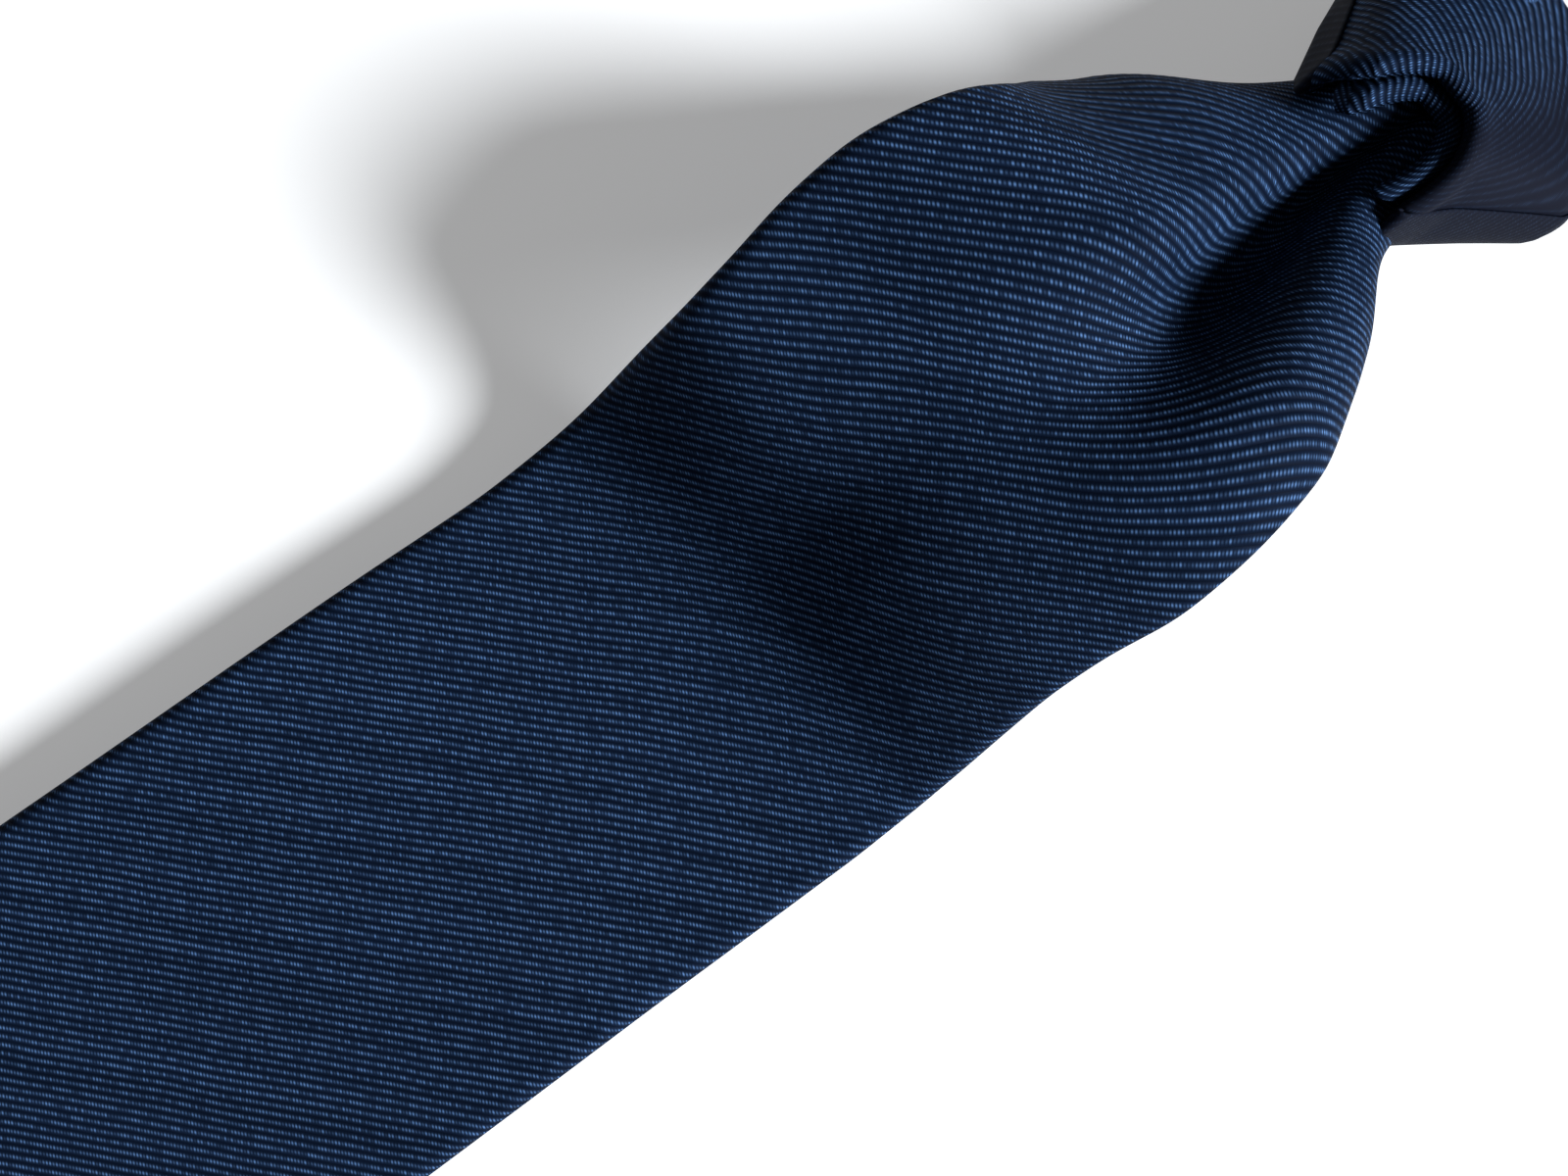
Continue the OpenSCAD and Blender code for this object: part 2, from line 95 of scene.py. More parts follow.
# How the tie is sewn
CLOTH = 0.45                        # thickness of the rep
SATIN_CLOTH = 0.15                  # thickness of the tipping
BLADE_POINT = 40.0                  # length of the blade's pointed end
TAIL_POINT = 18.5
BLADE_HEMS = (6, 9)                 # hems beside the tipping and at its point
TAIL_HEMS = (4, 6)
STITCH_PITCH = 6.0                  # from one slip stitch to the next
TACK_PITCH = 0.42                   # from one thread of a bar tack to the next
# Each opening in a back: tip, shoulder, half width, apex, side hem, tip hem
BLADE_WINDOW = (TIP_Y, TIP_Y + BLADE_POINT, BLADE_W / 2, SEAM_END_Y, *BLADE_HEMS)
TAIL_WINDOW = (TAIL_TIP_Y, TAIL_TIP_Y + TAIL_POINT, TAIL_W / 2, TAIL_SEAM_END_Y, *TAIL_HEMS)


# -------- small tools
def smooth(t):
    """0 below 0, 1 above 1, and a soft step between."""
    t = np.clip(t, 0.0, 1.0)
    return t * t * (3 - 2 * t)


def mix(a, b, t):
    """From a at t = 0 to b at t = 1."""
    return a + (b - a) * t


def curve(s, places, values, soft=4.0):
    """Value at s of a line through the given places, rounded at its corners."""
    shifts = np.linspace(-2, 2, 13)
    weights = np.exp(-shifts ** 2)
    weights /= weights.sum()
    return sum(w * np.interp(s + soft * k, places, values) for k, w in zip(shifts, weights))


def new_object(name, points, faces, uvs=None):
    """Mesh object from points in millimetres; uvs is one pair per point, also in millimetres."""
    mesh = bpy.data.meshes.new(name)
    mesh.from_pydata((np.asarray(points, float) * MM).tolist(), [], faces)
    mesh.update()
    if uvs is not None:
        layer = mesh.uv_layers.new(name="cloth")
        index = np.empty(len(mesh.loops), np.int32)
        mesh.loops.foreach_get("vertex_index", index)
        layer.data.foreach_set("uv", (np.asarray(uvs, float)[index] * MM).ravel())
    mesh.polygons.foreach_set("use_smooth", [True] * len(mesh.polygons))
    piece = bpy.data.objects.new(name, mesh)
    bpy.context.collection.objects.link(piece)
    return piece


def sheet_mesh(name, grid, uv, wrap=False, place=None):
    """Quads over a rows x columns grid of points; wrap joins the last column to the first.
    place is a second map, in shares of the piece rather than in metres of cloth."""
    rows, cols = grid.shape[:2]
    faces = []
    for i in range(rows - 1):
        for j in range(cols if wrap else cols - 1):
            k = (j + 1) % cols
            faces.append((i * cols + j, i * cols + k, (i + 1) * cols + k, (i + 1) * cols + j))
    piece = new_object(name, grid.reshape(-1, 3), faces, uv.reshape(-1, 2))
    if place is not None:
        layer = piece.data.uv_layers.new(name="place")
        corners = np.array([loop.vertex_index for loop in piece.data.loops])
        layer.data.foreach_set("uv", place.reshape(-1, 2)[corners].ravel())
    return piece


def thicken(piece, depth, offset=-1.0):
    """Give a sheet its cloth thickness, in millimetres, and apply it."""
    mod = piece.modifiers.new("thickness", "SOLIDIFY")
    mod.thickness = depth * MM
    mod.offset = offset
    mod.use_even_offset = False
    apply_modifiers(piece)


def apply_modifiers(piece):
    graph = bpy.context.evaluated_depsgraph_get()
    mesh = bpy.data.meshes.new_from_object(piece.evaluated_get(graph))
    old = piece.data
    piece.modifiers.clear()
    piece.data = mesh
    bpy.data.meshes.remove(old)
    mesh.polygons.foreach_set("use_smooth", [True] * len(mesh.polygons))


def unit(v):
    """Vectors along the last axis, made one long."""
    return v / np.maximum(np.linalg.norm(v, axis=-1, keepdims=True), 1e-9)


# -------- surfaces that cloth follows
class Surface:
    """Middle surface of a folded strip: rows along its length, t from -1 to 1 across it."""

    def __init__(self, length, half, points):
        self.length = np.asarray(length, float)
        self.half = np.asarray(half, float)
        self.points = points
        down = np.gradient(points, axis=0)
        across = np.gradient(points, axis=1)
        self.across = unit(across)
        self.normal = unit(np.cross(down, across))

    def at(self, field, t):
        """Value of a field at t, one row of t values per row of the strip."""
        n = field.shape[1]
        place = (np.clip(t, -1, 1) + 1) / 2 * (n - 1)
        low = np.clip(np.floor(place).astype(int), 0, n - 2)
        share = (place - low)[..., None]
        rows = np.arange(field.shape[0])[:, None]
        return field[rows, low] * (1 - share) + field[rows, low + 1] * share


def envelope(surface, thick, flap, front_cols, flap_cols, lap, fold_cols=7):
    """Cloth folded round a strip: back flap, fold, front, fold, back flap.  flap is the
    distance of both free edges from the middle, per row, and lap lifts the left one clear of
    the right one."""
    half = surface.half[:, None]
    r = (thick / 2)[:, None]
    edge = np.maximum(half - r, 0.05)
    columns, cloth = [], []

    def add(t, offset, u):
        point = surface.at(surface.points, t) + surface.at(surface.normal, t) * offset[..., None]
        columns.append(point)
        cloth.append(u)

    def fold(side):
        # psi is 0 at the back and pi at the front
        angles = np.linspace(0, math.pi, fold_cols + 2)[1:-1]
        for psi in angles[::-1] if side > 0 else angles:
            t = side * edge / half
            base = surface.at(surface.points, t)
            up = surface.at(surface.normal, t)
            out = surface.at(surface.across, t) * side
            point = base + (up * (-math.cos(psi)) + out * math.sin(psi)) * r[..., None]
            columns.append(point)
            cloth.append(side * (edge + r * (math.pi - psi)))

    span = np.linspace(0, 1, flap_cols)[None, :]
    inner = np.minimum(flap[:, None], edge)
    x = inner + (edge - inner) * span
    add(-x / half, -r * np.ones_like(x) - lap * (1 - smooth((x - inner) / 6)),
        -(edge + math.pi * r + edge - x))
    fold(-1)
    span_f = np.linspace(-1, 1, front_cols)[None, :]
    add(span_f * edge / half, r * np.ones_like(span_f * edge), span_f * edge)
    fold(1)
    x = inner + (edge - inner) * span[:, ::-1]
    add(x / half, -r * np.ones_like(x), edge + math.pi * r + edge - x)
    grid = np.concatenate(columns, axis=1)
    u = np.concatenate(cloth, axis=1)
    v = np.repeat(surface.length[:, None], u.shape[1], axis=1)
    return grid, np.stack([u, v], axis=-1)


def core(surface, thick, inset, cols):
    """Closed tube that fills a folded strip: its interlining."""
    half = np.maximum(surface.half - inset, 0.3)[:, None]
    t = np.linspace(-1, 1, cols)[None, :] * half / surface.half[:, None]
    base = surface.at(surface.points, t)
    up = surface.at(surface.normal, t) * (np.asarray(thick) / 2).reshape(-1, 1, 1)
    grid = np.concatenate([base + up, (base - up)[:, ::-1]], axis=1)
    u = np.concatenate([t * surface.half[:, None], (t * surface.half[:, None])[:, ::-1]], axis=1)
    v = np.repeat(surface.length[:, None], u.shape[1], axis=1)
    return grid, np.stack([u, v], axis=-1)


# -------- the blade's path
BLADE_MID_Z = FOLD_Z - 2.0
FLAT_S = 180.0

# Climb of the blade's middle line, in degrees, at distances along it from the knot's mouth
CLIMB_S = [-24, -6, 2, 10, 20, 30, 38, 47, 56, 70, 85, 100, 115, 130, 150, FLAT_S]
CLIMB = [-14, -8, 10, 20, 22, 28, 36, 16, -8, -30, -50, -45, -9, 1, 2, 0]
# Sideways place of the dimple's bottom, and of the middle of the blade beyond it
LEAN_S = [-18, -6, 8, 20, 38, 50, 65, 90, 130, FLAT_S]
LEAN = [-5.0, -4.8, -3.6, -2.2, 0.6, 0.2, -2.5, -4, -1.5, 0]
SKEW = 0.1          # how far the fall slants across the blade

PATH_FROM, PATH_TO, PATH_STEP = -30.0, 640.0, 0.5

# The middle line, in small steps: distance, slope in radians, and place
fine = np.arange(PATH_FROM, PATH_TO, PATH_STEP)
fine_climb = np.radians(curve(fine, CLIMB_S, CLIMB))
fine_y = -np.cumsum(np.cos(fine_climb)) * PATH_STEP
fine_z = np.cumsum(np.sin(fine_climb)) * PATH_STEP
fine_y += MOUTH_Y - np.interp(0, fine, fine_y)
fine_z += BLADE_MID_Z - fine_z[-1]


def path_at(y):
    """Distance along the middle line at a place along Y."""
    return np.interp(-y, -fine_y, fine)


TIP_S = path_at(TIP_Y)

# Cross sections at distances from the mouth: slope of the dimple's walls, in degrees, its width
# to the left and to the right ridge, and how far each edge rolls under, in degrees
SECTION_S = [-18, -8, 0, 10, 22, 36, 48, 60, 85, 120]
WALL = [44, 64, 74, 74, 70, 58, 20, 4, 3, 0]
RIDGE_LEFT = [5.5, 6.5, 8, 10, 13, 15, 16, 18, 20, 20]
RIDGE_RIGHT = [6, 7.5, 10, 14, 19, 21, 18, 12, 10, 20]
ROLL_LEFT = [200, 175, 143, 104, 58, 24, 8, 4, 2, 0]
ROLL_RIGHT = [220, 215, 210, 150, 94, 66, 40, 22, 12, 0]
ROLL_POWER = [1.0, 1.0, 1.0, 1.0, 1.05, 1.2, 1.4, 1.4, 1.3, 1.3]     # above 1, mostly at the edge
DIMPLE_X = 4.5      # how far the dimple lies from the middle of the cloth, at the mouth
ARCH_W = 68.0       # width of the blade up to SPREAD_S, where it starts to widen
SPREAD_S = 68.0
# How far each edge stands above or below the middle's path, and its place to the side
EDGE_S = [-14, 0, 20, 35, 45, 55, 65, 75, 85, 95, 105, 115, 130, 180]
LIFT_LEFT = [3, 0.5, -3.5, -3.5, -1, -0.5, 0.8, 4, 6.5, 5.2, 2.5, 0.8, 0, 0]
LIFT_RIGHT = [0, 0, 0, -2, -1, -1.5, -3, -3, -2, -1, -1, 0, 0, 0]
SIDE_S = [-18, -10, -5, 0, 5, 10, 15, 20, 25, 30, 36, 45, 55, 65, 75, 85, 95, 105, 115, 130,
          150, 200]
SIDE_LEFT = [-10, -14.5, -17.8, -21, -25.0, -29.6, -33.3, -36, -36.5, -36.1, -35.7, -38, -39.5,
             -38.6, -36.4, -35.4, -36.2, -36.9, -36.8, -36.2, -36.5, -36.3]
SIDE_RIGHT = [3.5, 4.3, 5.4, 6.6, 9.2, 12.5, 16.1, 18, 19.6, 21.7, 23.8, 26.9, 28.7, 28.1,
              28.7, 30.3, 32, 33.6, 34.4, 34.8, 35.2, 36.8]
SHOULDER_S = TIP_S - BLADE_POINT
# Below its seam the blade comes down from the tail's height onto the table
COME_DOWN_Y, COME_DOWN = TIP_Y + 103, 60


def blade_width(s):
    """Full width of the blade at a distance from the mouth."""
    share = np.clip((s - SPREAD_S) / (SHOULDER_S - SPREAD_S), 0, 1)
    return ARCH_W + (BLADE_W - ARCH_W) * share


def come_down(y):
    """How far the blade has come down, at places along it."""
    return (BLADE_LOW[2] - BLADE_BACK_Z) * smooth((COME_DOWN_Y - np.asarray(y)) / COME_DOWN)


def blade_surface(rows, cols=161):
    """Middle surface of the blade: the arch with its dimple, then the flat blade."""
    s = np.asarray(rows, float)
    half = blade_width(s) / 2
    point = np.clip((TIP_S - s) / BLADE_POINT, 0.0, 1.0)
    half = half * np.maximum(point, 0.02)
    # a is the distance across the flat cloth, from its middle, and t from the dimple's bottom
    a = np.linspace(-1, 1, cols)[None, :] * half[:, None]
    fade = smooth(1 - s / 90)[:, None]
    t = a - DIMPLE_X * fade

    def station(values):
        return curve(s, SECTION_S, values)[:, None]

    wall = np.radians(station(WALL))
    ridge = np.where(t < 0, station(RIDGE_LEFT), station(RIDGE_RIGHT))
    roll = np.radians(np.where(t < 0, station(ROLL_LEFT), station(ROLL_RIGHT)))
    u = np.abs(t)
    inside = wall * np.sin(math.pi * np.clip(u / ridge, 0, 1))
    reach = np.maximum(half[:, None] - ridge, 1.0)
    outside = -roll * np.clip((u - ridge) / reach, 0, None) ** station(ROLL_POWER)
    theta = np.where(u < ridge, inside, outside) * np.sign(t)
    # the section's slope theta, added up across the cloth, gives its place x and its rise q
    step = np.diff(a, axis=1)
    mid = (theta[:, 1:] + theta[:, :-1]) / 2
    x = np.concatenate([np.zeros((len(s), 1)), np.cumsum(np.cos(mid) * step, 1)], 1)
    q = np.concatenate([np.zeros((len(s), 1)), np.cumsum(np.sin(mid) * step, 1)], 1)
    for k in range(len(s)):
        x[k] -= np.interp(0, t[k], x[k])
        q[k] -= np.interp(0, t[k], q[k])
    skew = SKEW * smooth((s - 30) / 60)[:, None]
    along = s[:, None] + skew * a * smooth((240 - s) / 90)[:, None]
    y = np.interp(along, fine, fine_y) + (along - s[:, None])
    z = np.interp(along, fine, fine_z)
    climb = np.interp(along, fine, fine_climb)
    lean = curve(s, LEAN_S, LEAN)[:, None]
    out = np.abs(a) / half[:, None]
    lift = np.where(a < 0, curve(s, EDGE_S, LIFT_LEFT)[:, None],
                    curve(s, EDGE_S, LIFT_RIGHT)[:, None]) * smooth(out)
    x = x + lean
    # the arch's edges are drawn to their places; on the flat blade they keep their own
    side = smooth((300 - s) / 60)[:, None]
    for edge, pick in ((SIDE_LEFT, x < lean), (SIDE_RIGHT, x >= lean)):
        reach = np.max(np.where(pick, np.abs(x - lean), 0), axis=1, keepdims=True)
        want = np.abs(curve(s, SIDE_S, edge)[:, None] - lean)
        x = np.where(pick, lean + (x - lean) * mix(1.0, want / reach, side), x)
    points = np.stack([x, y + q * np.sin(climb),
                       z + come_down(y) + lift + q * np.cos(climb)], axis=-1)
    return Surface(s, half, points)


# -------- materials
def node_tree(name):
    """New material with an empty node tree."""
    mat = bpy.data.materials.new(name)
    mat.use_nodes = True
    tree = mat.node_tree
    tree.nodes.clear()
    return mat, tree


class Graph:
    """Short hand for building shader nodes."""

    def __init__(self, tree):
        self.tree = tree

    def node(self, kind, inputs=None, **props):
        """Node with each input set to a value or linked to a socket."""
        n = self.tree.nodes.new(kind)
        for key, value in props.items():
            setattr(n, key, value)
        for key, value in (inputs or {}).items():
            if isinstance(value, bpy.types.NodeSocket):
                self.tree.links.new(value, n.inputs[key])
            else:
                n.inputs[key].default_value = value
        return n

    def math(self, op, a, b=0.0, c=0.0):
        return self.node("ShaderNodeMath", {0: a, 1: b, 2: c}, operation=op).outputs[0]

    def plus(self, a, b):
        return self.math("ADD", a, b)

    def minus(self, a, b):
        return self.math("SUBTRACT", a, b)

    def times(self, a, b):
        return self.math("MULTIPLY", a, b)

    def arch(self, x, stretch, power):
        """Round top: 1 where x is 0, and near 0 where x times stretch is 1."""
        return self.math("SQRT", self.minus(1.0, self.math(
            "POWER", self.times(self.math("ABSOLUTE", x), stretch), power)))

    def blend(self, share, a, b):
        """Colour from a at share 0 to b at share 1."""
        n = self.node("ShaderNodeMix", data_type="RGBA")
        for key, value in (("Factor", share), ("A", a), ("B", b)):
            sockets = [k for k in n.inputs if k.name == key and k.enabled]
            if isinstance(value, bpy.types.NodeSocket):
                self.tree.links.new(value, sockets[0])
            else:
                sockets[0].default_value = value if key == "Factor" else (*value, 1)
        return [k for k in n.outputs if k.enabled][0]


RIB_PITCH = 1.12 * MM           # from one cord of the rep to the next
WARP_PITCH = 0.46 * MM          # from one warp float to the next, along a cord
RIB_TURN = math.radians(45.0)   # cords to the length: the cloth is cut on the bias
RIB_RELIEF = 0.18 * MM
# painted shade at the bottom of the grooves between the cords
GAP_SHADE_COLOR = (0.0020, 0.0042, 0.0112)
CORD_COLOR = (0.0046, 0.0100, 0.0254)
# painted highlight on the tops of the warp floats
PAINTED_GLINT_COLOR = (0.072, 0.149, 0.314)
# painted grey sheen on the knot's cloth
PAINTED_SHEEN_COLOR = (0.0062, 0.0072, 0.0128)


def rep_cloth(name, sheened=None):
    """Ribbed silk-look cloth: cords across the warp at an angle, with fine warp floats; the
    grooves between the cords are painted shade, and the floats carry painted glints.  The last
    argument gives the shares of a wrap's turn between which its ribs go flat and a painted grey
    sheen takes over the colour."""
    mat, tree = node_tree(name)
    g = Graph(tree)
    uv = g.node("ShaderNodeUVMap", uv_map="cloth").outputs[0]
    part = g.node("ShaderNodeSeparateXYZ", {0: uv})
    u, v = part.outputs[0], part.outputs[1]
    wave = g.node("ShaderNodeTexNoise", {"Vector": uv, "Scale": 60.0, "Detail": 2.0})
    wobble = g.times(g.minus(wave.outputs[0], 0.5), 0.55)
    cos_t, sin_t = math.cos(RIB_TURN), math.sin(RIB_TURN)
    across = g.plus(g.times(u, cos_t / RIB_PITCH), g.times(v, sin_t / RIB_PITCH))
    across = g.plus(across, wobble)
    along = g.plus(g.times(u, -sin_t / WARP_PITCH), g.times(v, cos_t / WARP_PITCH))
    rib = g.minus(g.math("FRACT", across), 0.5)
    rib_id = g.math("FLOOR", across)
    # each float leans a little over its cord, and neighbouring cords are out of step
    along = g.plus(along, g.times(rib, 0.9))
    along = g.plus(along, g.times(rib_id, 0.37))
    thread = g.minus(g.math("FRACT", along), 0.5)
    thread_id = g.math("FLOOR", along)
    rib_round = g.arch(rib, 1.98, 2.2)
    thread_round = g.arch(thread, 1.96, 2.0)
    cell = g.node("ShaderNodeCombineXYZ", {0: rib_id, 1: thread_id})
    chance = g.node("ShaderNodeTexWhiteNoise", {0: cell.outputs[0]}, noise_dimensions="2D")
    rib_cell = g.node("ShaderNodeCombineXYZ", {0: rib_id})
    rib_chance = g.node("ShaderNodeTexWhiteNoise", {0: rib_cell.outputs[0]}, noise_dimensions="2D")
    swell = g.plus(0.5, g.times(0.5, g.math("COSINE", g.times(rib, 2 * math.pi))))
    height = g.times(swell, g.plus(0.80, g.times(thread_round, 0.20)))
    height = g.plus(height, g.times(chance.outputs[0], 0.06))
    fuzz = g.node("ShaderNodeTexNoise", {"Vector": uv, "Scale": 9000.0, "Detail": 2.0})
    height = g.plus(height, g.times(fuzz.outputs[0], 0.05))
    # painted shade: each cord darkens towards the grooves on either side of it
    body = g.blend(g.math("POWER", rib_round, 2.0), GAP_SHADE_COLOR, CORD_COLOR)
    # painted highlight: the top of each float is painted with a glint, some floats more than
    # others
    glint_strength = g.plus(0.16, g.times(chance.outputs[0], 0.98))
    painted_glint = g.times(g.math("POWER", swell, 3.0),
                    g.times(g.math("POWER", thread_round, 6.0), glint_strength))
    body = g.blend(painted_glint, body, PAINTED_GLINT_COLOR)
    # cords differ a little in tone, and so do large patches of the cloth
    tone = g.plus(0.86, g.times(rib_chance.outputs[0], 0.28))
    cloud = g.node("ShaderNodeTexNoise", {"Vector": uv, "Scale": 22.0, "Detail": 3.0})
    patches = g.plus(0.85, g.times(cloud.outputs[0], 0.3))
    tone = g.times(tone, patches)
    scaled = g.node("ShaderNodeVectorMath", {0: body}, operation="SCALE")
    tree.links.new(tone, scaled.inputs["Scale"])
    color = scaled.outputs[0]
    if sheened:
        # painted sheen: over this part of the knot the colour turns to a flat grey sheen, and the
        # ribs lose most of their relief
        place = g.node("ShaderNodeUVMap", uv_map="place").outputs[0]
        turned = g.node("ShaderNodeSeparateXYZ", {0: place}).outputs[0]
        sheen_share = g.node("ShaderNodeMapRange", {0: turned, 1: sheened[0], 2: sheened[1]},
                       interpolation_type="SMOOTHSTEP").outputs[0]
        color = g.blend(g.times(sheen_share, 0.92), color, PAINTED_SHEEN_COLOR)
        left = g.minus(1.0, g.times(sheen_share, 0.9))
        height = g.times(height, left)
    bump = g.node("ShaderNodeBump", {"Height": height, "Strength": 1.0, "Distance": RIB_RELIEF})
    rough = g.minus(0.56, g.times(painted_glint, 0.16))
    shader = g.node("ShaderNodeBsdfPrincipled", {
        "Base Color": color, "Roughness": rough, "Normal": bump.outputs[0],
        "Specular IOR Level": 0.01})
    g.node("ShaderNodeOutputMaterial", {0: shader.outputs[0]})
    return mat


def plain_material(name, color, roughness, grain=2500.0, sheen=0.2):
    """Plain wool or thread, with a little grain and colour variation."""
    mat, tree = node_tree(name)
    g = Graph(tree)
    place = g.node("ShaderNodeTexCoord").outputs["Object"]
    noise = g.node("ShaderNodeTexNoise", {"Vector": place, "Scale": grain, "Detail": 3.0})
    cloud = g.node("ShaderNodeTexNoise", {"Vector": place, "Scale": 40.0, "Detail": 2.0})
    dark = tuple(c * 0.75 for c in color)
    light = tuple(c * 1.25 for c in color)
    tone = g.plus(g.times(noise.outputs[0], 0.6), g.times(cloud.outputs[0], 0.4))
    body = g.blend(tone, dark, light)
    bump = g.node("ShaderNodeBump", {"Height": noise.outputs[0], "Strength": 0.8,
                                     "Distance": 0.05 * MM})
    shader = g.node("ShaderNodeBsdfPrincipled", {
        "Base Color": body, "Roughness": roughness, "Normal": bump.outputs[0],
        "Specular IOR Level": 0.35, "Sheen Weight": sheen, "Sheen Roughness": 0.5})
    g.node("ShaderNodeOutputMaterial", {0: shader.outputs[0]})
    return mat


def woven_material(name, color_a, color_b, pitch_u, pitch_v, roughness, relief,
                   specular=0.4, slant=0.0):
    """Plain or satin weave from the cloth's own coordinates."""
    mat, tree = node_tree(name)
    g = Graph(tree)
    uv = g.node("ShaderNodeUVMap", uv_map="cloth").outputs[0]
    part = g.node("ShaderNodeSeparateXYZ", {0: uv})
    u, v = part.outputs[0], part.outputs[1]
    one = g.times(g.plus(u, g.times(v, slant)), 2 * math.pi / pitch_u)
    two = g.times(v, 2 * math.pi / pitch_v)
    weave = g.times(g.math("SINE", one), g.math("SINE", two))
    grid = g.plus(g.times(g.math("SINE", one), 0.5), g.times(weave, 0.5))
    cloud = g.node("ShaderNodeTexNoise", {"Vector": uv, "Scale": 35.0, "Detail": 3.0})
    share = g.plus(g.times(grid, 0.25), cloud.outputs[0])
    body = g.blend(share, color_a, color_b)
    bump = g.node("ShaderNodeBump", {"Height": grid, "Strength": 0.7, "Distance": relief})
    shader = g.node("ShaderNodeBsdfPrincipled", {
        "Base Color": body, "Roughness": roughness, "Normal": bump.outputs[0],
        "Specular IOR Level": specular, "Sheen Weight": 0.1})
    g.node("ShaderNodeOutputMaterial", {0: shader.outputs[0]})
    return mat


REP = rep_cloth("rep cloth")
# painted grey sheen, with flat ribs, over the right part of the front wrap's turn
REP_KNOT = rep_cloth("rep cloth of the knot", sheened=(0.44, 0.62))
# painted grey sheen, with flat ribs, all over the pass behind the knot
REP_SHEENED = rep_cloth("pressed rep cloth", sheened=(-2, -1))
SATIN = woven_material("tipping satin", (0.006, 0.011, 0.030), (0.012, 0.022, 0.060),
                       0.22 * MM, 0.9 * MM, 0.30, 0.012 * MM, specular=0.55, slant=0.35)
WOOL = plain_material("interlining wool", (0.62, 0.59, 0.52), 0.9, sheen=0.4)
THREAD = plain_material("sewing thread", (0.018, 0.034, 0.095), 0.5, grain=6000.0)
TAPE = woven_material("label tape", (0.012, 0.014, 0.020), (0.030, 0.034, 0.045),
                      0.35 * MM, 0.35 * MM, 0.55, 0.03 * MM)


def finish_piece(piece, material, slot, *nodes):
    """Give a piece its material, and hide the CAD nodes that it stands for; slot is not used."""
    piece.data.materials.clear()
    piece.data.materials.append(material)
    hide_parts(*nodes)


def fold_cloth(name, surface, thick, flap, front_cols, flap_cols, lap, *nodes):
    """A length of rep folded round a strip."""
    grid, uv = envelope(surface, thick, flap, front_cols, flap_cols, lap)
    piece = sheet_mesh(name, grid, uv)
    thicken(piece, CLOTH)
    finish_piece(piece, REP, "rep_cloth", *nodes)
    return piece


def fill_wool(name, surface, thick, inset, cols, *nodes):
    """The interlining inside a folded length."""
    grid, uv = core(surface, thick, inset, cols)
    piece = sheet_mesh(name, grid, uv, wrap=True)
    finish_piece(piece, WOOL, "interlining", *nodes)
    return piece


# -------- camera, light and floor
CAMERA_PLACE = (5.8, FOLD_Y + 29.07, FOLD_Z + 203.0)
CAMERA_TILT_X, CAMERA_TILT_Y, CAMERA_TURN = (math.radians(d) for d in (-1.1, -2.1, -55.2))
LENS = 33.75                        # on a sensor 36 mm wide
LIGHT_TARGET = Vector((0.0, MOUTH_Y * MM - 0.05, 0.02))         # metres
LIGHT_FROM = Vector((0.86, LIGHT_TARGET.y + 0.60, 0.62))
LIGHT_SPREAD = math.radians(22.0)
LIGHT_POWER, LIGHT_COLOR = 7.9, (0.94, 0.97, 1.0)
ROOM_POWER, ROOM_COLOR = 0.10, (0.95, 0.97, 1.0, 1)
FLOOR_SIZE, FLOOR_DEPTH = 8, 0.0002                             # metres
FLOOR_GLOW = 0.30


def point_camera():
    """Look down on the knot and the arch, nearly from above."""
    cam = bpy.data.cameras.new("view")
    cam.sensor_width = 36.0
    cam.lens = LENS
    cam.clip_start = 0.005
    holder = bpy.data.objects.new("view", cam)
    bpy.context.collection.objects.link(holder)
    rotation = (Matrix.Rotation(CAMERA_TURN, 3, "Z") @ Matrix.Rotation(CAMERA_TILT_Y, 3, "Y")
                @ Matrix.Rotation(CAMERA_TILT_X, 3, "X"))
    holder.matrix_world = Matrix.LocRotScale(Vector(CAMERA_PLACE) * MM, rotation.inverted(), None)
    bpy.context.scene.camera = holder


def light_studio():
    """One wide, even light from far off, and a faint one from all round."""
    light = bpy.data.lights.new("window", "SUN")
    light.angle = LIGHT_SPREAD
    light.energy = LIGHT_POWER
    light.color = LIGHT_COLOR
    holder = bpy.data.objects.new("window", light)
    bpy.context.collection.objects.link(holder)
    holder.location = LIGHT_FROM
    holder.rotation_euler = (LIGHT_TARGET - LIGHT_FROM).to_track_quat("-Z", "Y").to_euler()
    world = bpy.data.worlds.new("studio")
    world.use_nodes = True
    world.node_tree.nodes["Background"].inputs[0].default_value = ROOM_COLOR
    world.node_tree.nodes["Background"].inputs[1].default_value = ROOM_POWER
    bpy.context.scene.world = world
    bpy.context.scene.view_settings.view_transform = "Standard"


def make_floor():
    """Pale floor, lit a little from below as a light table is, so that shadows stay pale."""
    bpy.ops.mesh.primitive_plane_add(size=FLOOR_SIZE, location=(0, 0, -FLOOR_DEPTH))
    floor = bpy.context.object
    floor.name = "floor"
    mat, tree = node_tree("floor")
    g = Graph(tree)
    noise = g.node("ShaderNodeTexNoise", {"Scale": 3.0})
    body = g.blend(noise.outputs[0], (0.74, 0.74, 0.74), (0.77, 0.77, 0.77))
    shader = g.node("ShaderNodeBsdfPrincipled", {
        "Base Color": body, "Roughness": 0.9, "Emission Color": (1, 1, 1, 1),
        "Emission Strength": FLOOR_GLOW})
    g.node("ShaderNodeOutputMaterial", {0: shader.outputs[0]})
    floor.data.materials.append(mat)


